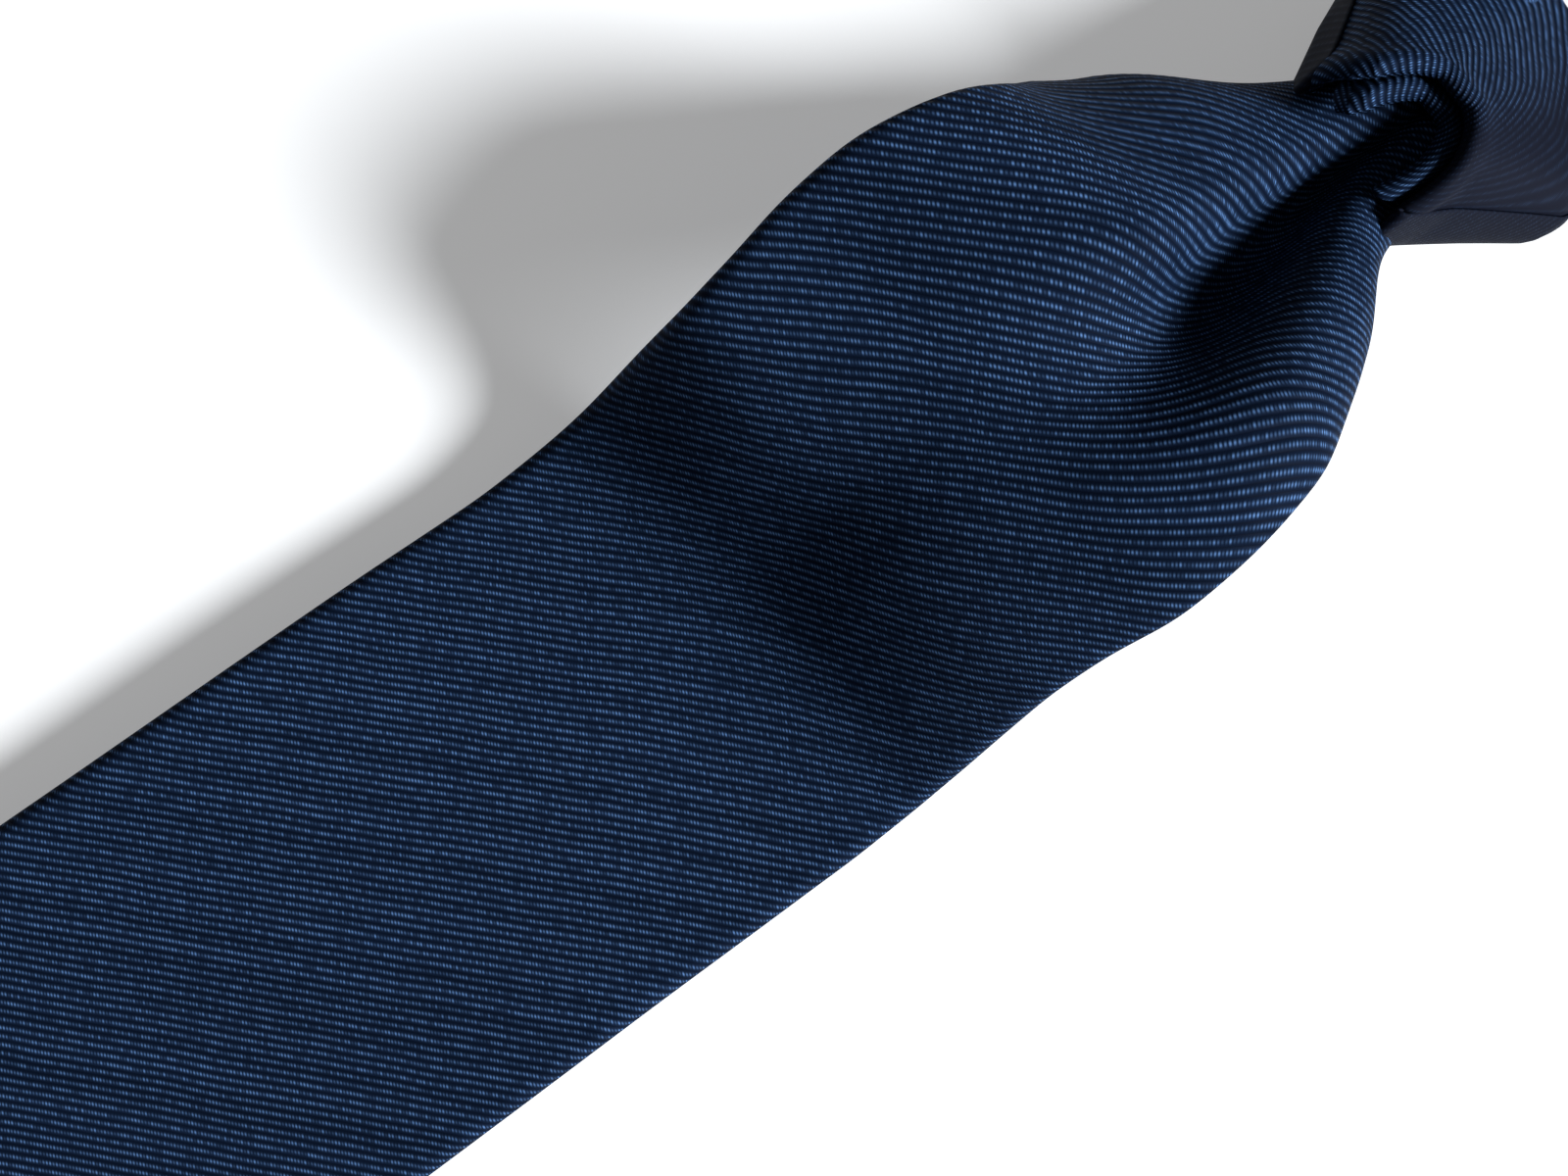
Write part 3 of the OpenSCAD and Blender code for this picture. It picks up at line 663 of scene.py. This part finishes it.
# -------- front blade
def window_half(y, tip_y, shoulder_y, half, apex_y, side_hem, tip_hem):
    """Half width of the opening between the flaps, where the tipping shows."""
    wide = half - side_hem
    up = np.clip((apex_y - y) / (apex_y - shoulder_y - 4), 0, 1) * wide
    down = np.clip((y - tip_y - tip_hem) / (shoulder_y + 2 - tip_y - tip_hem), 0, 1) * wide
    return np.minimum(up, down)


def blade_rows():
    """Distances of the blade's rows of points: close together over the arch and the point."""
    return np.concatenate([np.arange(-16, 140, 1.25), np.arange(140, SHOULDER_S, 4.0),
                           np.linspace(SHOULDER_S, TIP_S - 0.6, 26)])


def blade_thick(rows):
    """Thickness of the folded blade: thinner in the knot and at the point."""
    near_tip = np.clip((TIP_S - rows) / 12, 0.35, 1)
    return mix(2.0, 3.4, smooth(rows / 70)) * near_tip


def make_front_blade():
    """The blade's cloth, from inside the knot to the point, and the wool inside it."""
    rows = blade_rows()
    surface = blade_surface(rows)
    y = surface.points[:, surface.points.shape[1] // 2, 1]
    flap = np.maximum(window_half(y, *BLADE_WINDOW), 0.2)
    piece = fold_cloth("blade_cloth", surface, blade_thick(rows), flap, 91, 14, 0.25,
                       "blade_arch_shell", "front_blade_shell", "blade_throat")
    bend_at_fold(piece)

    keep = rows < TIP_S - 6
    inner = Surface(rows[keep], surface.half[keep], surface.points[keep])
    wool = fill_wool("blade_interlining", inner, blade_thick(rows)[keep] - 1.3, 1.9, 15,
                     "blade_arch_interlining", "front_interlining")
    bend_at_fold(wool)


def bend_at_fold(piece):
    """Bake a piece's placing into its mesh."""
    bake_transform(piece)


# -------- flat pieces on a blade's back
def back_height(y):
    """Height of the front blade's back over the table at a place along it."""
    return BLADE_BACK_Z + come_down(y) + 0.3


def patch(name, low, high, depth, cols, rows, material, slot, node, shape):
    """Piece of cloth or tape on the front blade's back, between two corners; shape(x, y) gives
    its points."""
    x, y = np.meshgrid(np.linspace(low[0], high[0], cols), np.linspace(high[1], low[1], rows))
    x, y, height = shape(x, y)
    piece = sheet_mesh(name, np.stack([x, y, height], axis=-1), np.stack([x, -y], axis=-1))
    thicken(piece, depth, offset=0)
    finish_piece(piece, material, slot, node)
    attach(piece, "front_blade")
    return piece


def tube(points, radius, sides=6):
    """Points and faces of a thread along a path."""
    points = np.asarray(points, float)
    way = unit(np.gradient(points, axis=0))
    side = unit(np.cross(way, [0.0, 0.0, 1.0]) + [1e-6, 0, 0])
    up = np.cross(side, way)
    turn = np.linspace(0, 2 * math.pi, sides, endpoint=False)
    ring = (points[:, None] + radius * (np.cos(turn)[None, :, None] * side[:, None]
                                        + np.sin(turn)[None, :, None] * up[:, None]))
    n = len(points)
    faces = [(i * sides + j, i * sides + (j + 1) % sides,
              (i + 1) * sides + (j + 1) % sides, (i + 1) * sides + j)
             for i in range(n - 1) for j in range(sides)]
    faces.append(tuple(range(sides))[::-1])
    faces.append(tuple((n - 1) * sides + j for j in range(sides)))
    return ring.reshape(-1, 3), faces


def threads(name, paths, radius, body, node):
    """One piece made of several threads."""
    points, faces, base = [], [], 0
    for path in paths:
        p, f = tube(path, radius)
        points.append(p)
        faces += [tuple(k + base for k in face) for face in f]
        base += len(p)
    piece = new_object(name, np.concatenate(points), faces)
    finish_piece(piece, THREAD, "thread", node)
    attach(piece, body)
    return piece


def stitch(a, b, rise, steps=7):
    """A stitch from a to b, standing out downwards from the cloth by rise."""
    t = np.linspace(0, 1, steps)[:, None]
    path = np.asarray(a, float) * (1 - t) + np.asarray(b, float) * t
    path[:, 2] -= rise * np.sin(math.pi * t[:, 0])
    return path


def slip_stitches(y0, y1, x0, x1, slant, height, rise):
    """Stitches up a back's middle seam, from y0 to y1."""
    seam = []
    while y0 < y1:
        z = height(y0)
        seam.append(stitch((x0, y0, z), (x1, y0 + slant, z), rise))
        y0 += STITCH_PITCH
    return seam


def bar_tack(half, y, z, rise):
    """Four threads laid side by side across a seam's end."""
    return [stitch((-half, y + TACK_PITCH * k, z), (half, y + TACK_PITCH * k, z), rise)
            for k in range(4)]


def thread_loop(x, y, z, length, width):
    """Slack oval loop of thread hanging under the back."""
    turn = np.linspace(0, 2 * math.pi, 33)
    path = np.stack([x + width / 2 * np.sin(turn), y + length / 2 * (1 - np.cos(turn)),
                     z - 0.12 - 0.25 * np.sin(turn / 2) ** 2], axis=-1)
    return [path]


def make_tipping(name, window, height, node, body):
    """Satin let in behind a point; its edges run a little way under the hems."""
    tip_y, _, _, apex_y, _, tip_hem = window
    rows = np.linspace(apex_y - 1, tip_y + tip_hem - 3, 60)
    wide = window_half(rows, *window) + 2.5
    t = np.linspace(-1, 1, 31)
    x = wide[:, None] * t[None, :]
    y = np.repeat(rows[:, None], len(t), axis=1)
    z = height(y) + 0.05 * np.sin(x * 0.35 + y * 0.21) * (1 - t[None, :] ** 2)
    piece = sheet_mesh(name, np.stack([x, y, z], axis=-1), np.stack([x, -y], axis=-1))
    thicken(piece, SATIN_CLOTH, offset=0)
    finish_piece(piece, SATIN, "tipping_satin", node)
    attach(piece, body)


def make_front_seam():
    """The satin, and the threads that close the front blade's back."""
    make_tipping("front_satin", BLADE_WINDOW,
                 lambda y: back_height(y) + 0.32 + 1.7 * (1 - np.clip((y - TIP_Y) / 12, 0.35, 1)),
                 "front_tipping", "front_blade")
    seam = slip_stitches(SEAM_END_Y + 6, FOLD_Y - 16, -0.5, 0.6, 2.6,
                         lambda y: back_height(y) - 0.35, 0.12)
    threads("front_slip_stitches", seam, 0.16, "front_blade", "front_slip_stitch")
    z = BLADE_BACK_Z - 0.15
    bars = bar_tack(4, SEAM_END_Y + 1.6, z, 0.10)
    bars += [stitch((x, SEAM_END_Y + 1.2, z - 0.15), (x + 0.35, SEAM_END_Y + 3.2, z - 0.15), 0.1)
             for x in np.arange(-3.6, 3.6, 0.75)]
    threads("front_bar_tacking", bars, 0.19, "front_blade", "front_bar_tack")
    threads("front_slack_loop", thread_loop(5.3, SEAM_END_Y + 6, BLADE_BACK_Z, 12, 3.0), 0.2,
            "front_blade", "front_thread_loop")


def make_keeper():
    """The strip that the tail goes through, standing off the back between its ends."""
    middle = (KEEPER_LOW[1] + KEEPER_HIGH[1]) / 2
    half = KEEPER_HIGH[0]

    def keeper_shape(x, y):
        share = np.clip((half - np.abs(x)) / 4.5, 0, 1)
        z = mix(BLADE_BACK_Z - 0.45, KEEPER_LOW[2] + 0.5, smooth(share))
        return x, y + 0.35 * np.sin(x * 0.11), z + 0.15 * (1 - np.abs(x) / half)

    keeper = patch("keeper_strip", (-half, KEEPER_LOW[1]), (half, KEEPER_HIGH[1]), 0.8, 61, 9,
                   REP, "rep_cloth", "keeper_loop", keeper_shape)
    tacks = []
    for side in (-1, 1):
        x = side * (half - 1.2)
        for k in np.linspace(-4.6, 4.6, 9):
            tacks.append(stitch((x - 0.7, middle + k, BLADE_BACK_Z - 0.7),
                                (x + 0.7, middle + k + 0.5, BLADE_BACK_Z - 0.7), 0.15))
    threads("keeper_stitches", tacks, 0.17, "front_blade", "keeper_tacks")


def make_labels():
    """The two blank labels, one held by a few stitches at each corner."""
    tape = patch("plain_label", LABEL_LOW, LABEL_HIGH, 0.35, 41, 17, TAPE, "label_tape",
                 "blank_label", lambda x, y: (x, y, BLADE_BACK_Z - 0.38 + 0.04 * np.sin(x * 0.4)))
    ends = []
    for x in (-1, 1):
        for y in (-1, 1):
            cx = x * (LABEL_HIGH[0] - 2.2)
            cy = (LABEL_LOW[1] + LABEL_HIGH[1]) / 2 + y * 6.3
            for k in (-0.5, 0.0, 0.5):
                ends.append(stitch((cx - 1.4, cy + k, BLADE_BACK_Z - 0.5),
                                   (cx + 1.4, cy + k, BLADE_BACK_Z - 0.5), 0.16))
    threads("label_corner_stitches", ends, 0.16, "front_blade", "label_stitches")
    care = patch("plain_care_label", CARE_LOW, CARE_HIGH, 0.25, 13, 13, TAPE, "label_tape",
                 "care_label", lambda x, y: (x, y, back_height(y) - 0.55))


# -------- tail
TAIL_MID_Z = (TAIL_LOW[2] + TAIL_HIGH[2]) / 2
TAIL_DROP = BLADE_MID_Z - TAIL_MID_Z
TAIL_ROOT_W = 29.0      # width of the tail at the foot of the arch
TAIL_END_S = path_at(TAIL_TIP_Y)
KNOT_IN = 26.0          # how far the tail runs up inside the knot


def tail_surface(rows, cols=41):
    """Middle surface of the tail, which follows the blade's path from below."""
    s = np.asarray(rows, float)
    y = np.interp(s, fine, fine_y)
    z = np.interp(s, fine, fine_z)
    climb = np.interp(s, fine, fine_climb)
    fold_s = path_at(FOLD_Y)
    shoulder = TAIL_END_S - TAIL_POINT
    wide = mix(13.0, TAIL_ROOT_W, smooth(s / 60))
    wide = np.where(s > fold_s, mix(TAIL_ROOT_W, TAIL_W,
                                    np.clip((s - fold_s) / (shoulder - fold_s), 0, 1)), wide)
    half = wide / 2 * np.maximum(np.clip((TAIL_END_S - s) / TAIL_POINT, 0, 1), 0.03)
    a = np.linspace(-1, 1, cols)[None, :] * half[:, None]
    down = mix(3.4, TAIL_DROP, smooth((s + 5) / 60))[:, None]
    lean = np.interp(s, LEAN_S, LEAN)[:, None]
    cup = 0.010 * (1 - smooth(s / 90))[:, None]
    y = y[:, None] - down * np.sin(climb)[:, None]
    z = z[:, None] - down * np.cos(climb)[:, None] + cup * a ** 2
    return Surface(s, half, np.stack([a + lean, y + 0 * a, z], axis=-1))


def make_tail():
    """The tail's cloth and wool, its satin, and the threads that close its back."""
    rows = np.concatenate([np.arange(-KNOT_IN, 130, 2.5), np.arange(130, TAIL_END_S - 19, 4.0),
                           np.linspace(TAIL_END_S - TAIL_POINT, TAIL_END_S - 0.5, 18)])
    surface = tail_surface(rows)
    y = surface.points[:, surface.points.shape[1] // 2, 1]
    flap = np.maximum(window_half(y, *TAIL_WINDOW), 0.2)
    near_tip = np.clip((TAIL_END_S - rows) / 8, 0.4, 1)
    thick = mix(1.8, 2.7, smooth(rows / 60)) * near_tip
    piece = fold_cloth("tail_cloth", surface, thick, flap, 31, 10, 0.2,
                       "tail_arch", "tail_shell", "knot_tail_core")
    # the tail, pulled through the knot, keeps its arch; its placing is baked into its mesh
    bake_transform(piece)
    keep = rows < TAIL_END_S - 5
    inner = Surface(rows[keep], surface.half[keep], surface.points[keep])
    wool = fill_wool("tail_interlining_wool", inner, np.maximum(thick[keep] - 1.15, 0.3), 1.6, 9,
                     "tail_interlining")
    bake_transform(wool)
    back = TAIL_MID_Z - 1.35
    make_tipping("tail_satin", TAIL_WINDOW,
                 lambda y: back + 0.26 + 1.35 * (1 - np.clip((y - TAIL_TIP_Y) / 8, 0.4, 1)),
                 "tail_tipping", "tail")
    seam = slip_stitches(TAIL_SEAM_END_Y + 23, FOLD_Y - 8, -0.45, 0.5, 2.4,
                         lambda y: back - 0.22, 0.10)
    threads("tail_slip_stitches", seam, 0.14, "tail", "tail_slip_stitch")
    threads("tail_bar_tacking", bar_tack(3, TAIL_SEAM_END_Y + 4.3, back - 0.15, 0.06), 0.15,
            "tail", "tail_bar_tack")
    threads("tail_slack_loop", thread_loop(3.6, TAIL_SEAM_END_Y + 12, back + 0.05, 9.6, 2.7),
            0.12, "tail", "tail_thread_loop")


# -------- knot
KNOT_X = -3.5                       # the knot sits a little to the left
KNOT_Z = 31.14                      # height of the blade's middle at the mouth
KNOT_PITCH = math.radians(31.0)     # the knot's axis runs down from the mouth to the loop
AXIS_DROP = 2.5                     # the axis lies this far below the blade's middle
KNOT_ROUND = 0.8                    # 1 would be an ellipse; below 1 is squarer
KNOT_Y_WAY = np.array([0, math.cos(KNOT_PITCH), -math.sin(KNOT_PITCH)])
KNOT_Z_WAY = np.array([0, math.sin(KNOT_PITCH), math.cos(KNOT_PITCH)])
KNOT_HEART = (np.array([KNOT_X, MOUTH_Y, KNOT_Z]) - AXIS_DROP * KNOT_Z_WAY
              + 0.6 * KNOT_Y_WAY)
# Half widths and half depths of the knot, at distances up it from the mouth
KNOT_LEFT = [-5, 0, 10, 21, 32, 42, 50], [9.8, 10.4, 14.2, 19.0, 22.8, 24, 24]
KNOT_RIGHT = [-5, 0, 10, 21, 31, 42, 50], [7.8, 8.2, 11.5, 16.5, 21.2, 22.6, 22.6]
KNOT_FRONT = [-5, 0, 12, 25, 42, 50], [10.5, 11.2, 11.8, 10.6, 8.6, 8.2]
KNOT_BACK = [-5, 0, 12, 30, 42, 50], [11.2, 11, 10.2, 9.0, 7.6, 7.4]


def knot_point(v, angle, inset):
    """Point on the knot: v from mouth to top, angle in degrees with its front at 270."""
    c, s = np.cos(np.radians(angle)), np.sin(np.radians(angle))
    wide = np.where(c > 0, np.interp(v, *KNOT_RIGHT), np.interp(v, *KNOT_LEFT)) - inset
    deep = np.where(s < 0, np.interp(v, *KNOT_FRONT), np.interp(v, *KNOT_BACK)) - inset
    x = wide * np.sign(c) * np.abs(c) ** KNOT_ROUND
    n = -deep * np.sign(s) * np.abs(s) ** KNOT_ROUND
    return (KNOT_HEART + np.stack([x, 0 * x, 0 * x], -1)
            + v[..., None] * KNOT_Y_WAY + n[..., None] * KNOT_Z_WAY)


# Where the front wrap's lip and top edge lie, round the knot: degrees, distance up the knot
LIP_ANGLE = [160, 180, 215, 232, 248, 262, 276, 292, 308, 325, 345, 380]
LIP = [7, 6, 4, 5, 8.8, 13, 13.5, 10.5, 8, 5, 2, 2]
TOP_ANGLE = [160, 200, 240, 262, 275, 290, 310, 330, 357, 380]
TOP = [44, 46, 52, 56, 55, 51, 45, 41, 36, 35]


def wrap(name, a0, a1, inset, gap, lip, top, cols, reach, swell, turn, material, node, rests_on):
    """Doubled band round the knot with rolled edges at its lip and its top.  It runs from angle
    a0 to a1, inset below the knot's outside.  gap is its thickness, reach the depth of its
    turned-in edges, swell the height of the roll behind its lip, and turn the slope of its ribs
    near a0 and near a1, in degrees."""
    angle = np.linspace(a0, a1, cols)
    low, high = lip(angle), top(angle)
    r = gap / 2
    profile = []                      # (share from the lip to the top, offset in v, inset)
    for d in np.linspace(reach, r, 7):
        profile.append((1, -d, gap))
    for psi in np.linspace(0, math.pi, 8)[1:-1]:
        profile.append((1, -r + r * math.sin(psi), r + r * math.cos(psi)))
    for t in np.linspace(1, 0, 34):
        profile.append((t, r - 2 * r * t, 0))
    for psi in np.linspace(0, math.pi, 8)[1:-1]:
        profile.append((0, r - r * math.sin(psi), r - r * math.cos(psi)))
    for d in np.linspace(r, reach, 7):
        profile.append((0, d, gap))
    rows = []
    for share, shift, depth in profile:
        v = mix(low, high, share) + shift
        from_lip = np.clip(v - low, 0, None)
        rise = swell * np.exp(-((from_lip - 2.2) / 2.0) ** 2) * (depth < gap)
        rows.append(knot_point(v, angle, inset + depth - rise))
    grid = np.array(rows)
    along = np.concatenate([[0], np.cumsum(np.median(np.linalg.norm(
        np.diff(grid, axis=0), axis=2), axis=1))])
    arc = np.concatenate([[0], np.cumsum(np.linalg.norm(np.diff(grid[len(grid) // 2], axis=0),
                                                        axis=1))])
    # rib and warp are the cloth's own coordinates across and along the ribs, which turn with it
    phi = np.radians(np.interp(angle, [a0 + 30, a1 - 30], turn))
    sweep = np.concatenate([[0], np.cumsum(np.cos((phi[1:] + phi[:-1]) / 2) * np.diff(arc))])
    cross = np.concatenate([[0], np.cumsum(np.sin((phi[1:] + phi[:-1]) / 2) * np.diff(arc))])
    lip_row = np.array([p[0] for p in profile])
    dist = (along[np.argmin(lip_row)] - along)[:, None]
    rib = sweep[None, :] + dist * np.sin(phi)[None, :]
    warp = -cross[None, :] + dist * np.cos(phi)[None, :]
    uv = np.stack([(rib - warp) / math.sqrt(2), (rib + warp) / math.sqrt(2)], axis=-1)
    turn_share, lip_share = np.meshgrid((angle - a0) / (a1 - a0), np.linspace(1, 0, len(grid)))
    piece = sheet_mesh(name, grid, uv, place=np.stack([turn_share, lip_share], axis=-1))
    thicken(piece, CLOTH, offset=1.0)
    finish_piece(piece, material, "rep_cloth", node)
    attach(piece, "root")


def front_lip(angle):
    """Distance up the knot of the front wrap's lip."""
    return np.interp(angle, LIP_ANGLE, LIP)


def make_knot():
    """The front wrap, the flattened pass behind it, and the first wrap inside its lip."""
    wrap("front_wrap", 172, 372, 0.0, 1.9, front_lip, lambda a: np.interp(a, TOP_ANGLE, TOP),
         121, 12, 0.5, (55.0, 5.0), REP_KNOT, "knot_front_wrap", "first_wrap")
    wrap("back_pass", -14, 194, -0.5, 1.6,
         lambda a: np.interp(a, [-14, 90, 150, 194], [0.8, 0.5, 3, 7]),
         lambda a: np.interp(a, [-14, 90, 194], [33.4, 41, 44.6]),
         91, 10, 0.0, (50.0, 40.0), REP_SHEENED, "knot_back_pass", "front_wrap")
    wrap("first_wrap", 196, 348, 3.1, 2.2,
         lambda a: front_lip(a) - 1.0 + 0.4 * np.sin(np.radians(a) * 3),
         lambda a: front_lip(a) + 22,
         91, 8, 0.4, (35.0, 5.0), REP, "knot_first_wrap", "front_wrap")


# -------- neck loop
# Two straight legs spread from the knot and meet a round loop; the band turns up onto its edge
LOOP_R = 52.0
LEG_ANGLE = math.radians(28.0)
LEG_X, LEG_Y = 7.0, MOUTH_Y + 33.0      # where each leg leaves the knot
LEG_W, LEG_LIFT = 12.0, 5.8             # width and height of a leg there
BAND_W, BAND_T = 32.0, 3.2              # width and thickness of the band at the back of the neck
LEG_TILT, BAND_TILT = 12.0, 80.0
NECK_THICK = 2.6                        # thickness of the folded band
LEG_RUN = LOOP_R / math.tan(LEG_ANGLE) - LEG_X / math.sin(LEG_ANGLE)
LOOP_Y = LEG_Y - LEG_X / math.tan(LEG_ANGLE) + LOOP_R / math.sin(LEG_ANGLE)
ARC_RUN = LOOP_R * (math.pi + 2 * LEG_ANGLE)
LOOP_RUN = 2 * LEG_RUN + ARC_RUN


def band_wide(s):
    """Width of the neck band at a distance round the loop."""
    return mix(LEG_W, BAND_W, smooth(np.minimum(s, LOOP_RUN - s) / 60))


def band_point(s, across, up):
    """Point of the neck band at a distance s round the loop from the knot's right side."""
    on_back = s > LEG_RUN + ARC_RUN
    r = np.where(on_back, LOOP_RUN - s, s)
    side = np.where(on_back, -1.0, 1.0)
    turn = -LEG_ANGLE + (s - LEG_RUN) / LOOP_R
    on_leg = on_back | (s < LEG_RUN)
    x = np.where(on_leg, side * (LEG_X + r * math.sin(LEG_ANGLE)), LOOP_R * np.cos(turn))
    y = np.where(on_leg, LEG_Y + r * math.cos(LEG_ANGLE), LOOP_Y + LOOP_R * np.sin(turn))
    ox = np.where(on_leg, side * math.cos(LEG_ANGLE), np.cos(turn))
    oy = np.where(on_leg, -math.sin(LEG_ANGLE), np.sin(turn))
    end = np.minimum(s, LOOP_RUN - s)
    tilt = np.radians(mix(LEG_TILT, BAND_TILT, smooth(end / (LOOP_RUN / 2 - 20))))
    wide = band_wide(s)
    near = 1 - smooth(end / 50)
    high = wide / 2 * np.sin(tilt) + BAND_T / 2 * np.cos(tilt) + LEG_LIFT * near
    # gathered folds near the knot, and the faint waves of cloth that has been worn
    crease = (1 - smooth(end / 45)) * 0.9 * np.cos(across * 1.1)
    wave = 0.35 * np.sin(s * 0.09 + across * 0.12)
    up = up + crease + wave * smooth(end / 60)
    k = up * np.sin(tilt) - across * np.cos(tilt)
    z = high + up * np.cos(tilt) + across * np.sin(tilt)
    return np.stack([x + ox * k + KNOT_X * near, y + oy * k, z], axis=-1)


def band_surface(s, skew, cols=41):
    """Middle surface of the neck band; skew slants its rows, as a piecing seam does."""
    half = band_wide(s) / 2
    a = np.linspace(-1, 1, cols)[None, :] * half[:, None]
    places = s[:, None] + skew[:, None] * a
    return Surface(s, half, band_point(places, a, 0 * a))


def neck_piece(name, s0, s1, skew0, skew1, node):
    """One length of the neck band, between two seams."""
    n = max(int((s1 - s0) / 3), 4)
    s = np.linspace(s0, s1, n)
    surface = band_surface(s, np.linspace(skew0, skew1, n))
    piece = fold_cloth(name, surface, np.full(n, NECK_THICK), np.full(n, 0.15), 31, 10, 0.2, node)
    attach(piece, "root")
    neck_squash(piece)


def neck_squash(piece):
    """Give a piece its own copy of its mesh."""
    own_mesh(piece)


def make_neck():
    """The neck band: three lengths of cloth, its wool, and the two piecing seams."""
    front_s, tail_s, slant = LEG_RUN + 52, LOOP_RUN - LEG_RUN - 40, 0.9
    neck_piece("neck_front", 0, front_s, 0, slant, "neck_front_leg")
    neck_piece("neck_back", front_s + 0.4, tail_s - 0.4, slant, -slant, "neck_gusset")
    neck_piece("neck_tail", tail_s, LOOP_RUN, -slant, 0, "neck_tail_leg")
    s = np.linspace(1, LOOP_RUN - 1, 120)
    surface = band_surface(s, 0 * s, cols=21)
    wool = fill_wool("neck_wool", surface, np.full(len(s), 1.4), 1.5, 9, "neck_interlining")
    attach(wool, "root")
    neck_squash(wool)
    for name, place, skew, node in (("front_join", front_s + 0.2, slant, "piecing_seam_front"),
                                    ("tail_join", tail_s - 0.2, -slant, "piecing_seam_tail")):
        half = float(band_wide(place)) / 2
        paths = []
        for a in np.arange(-half + 0.8, half - 0.8, 1.5):
            across = np.linspace(a, a + 0.9, 5)
            paths.append(band_point(place + skew * across, across, np.full(5, 1.38)))
        neck_squash(threads(name, paths, 0.13, "root", node))


point_camera()
make_floor()
light_studio()
make_front_blade()
make_front_seam()
make_keeper()
make_labels()
make_tail()
make_knot()
make_neck()
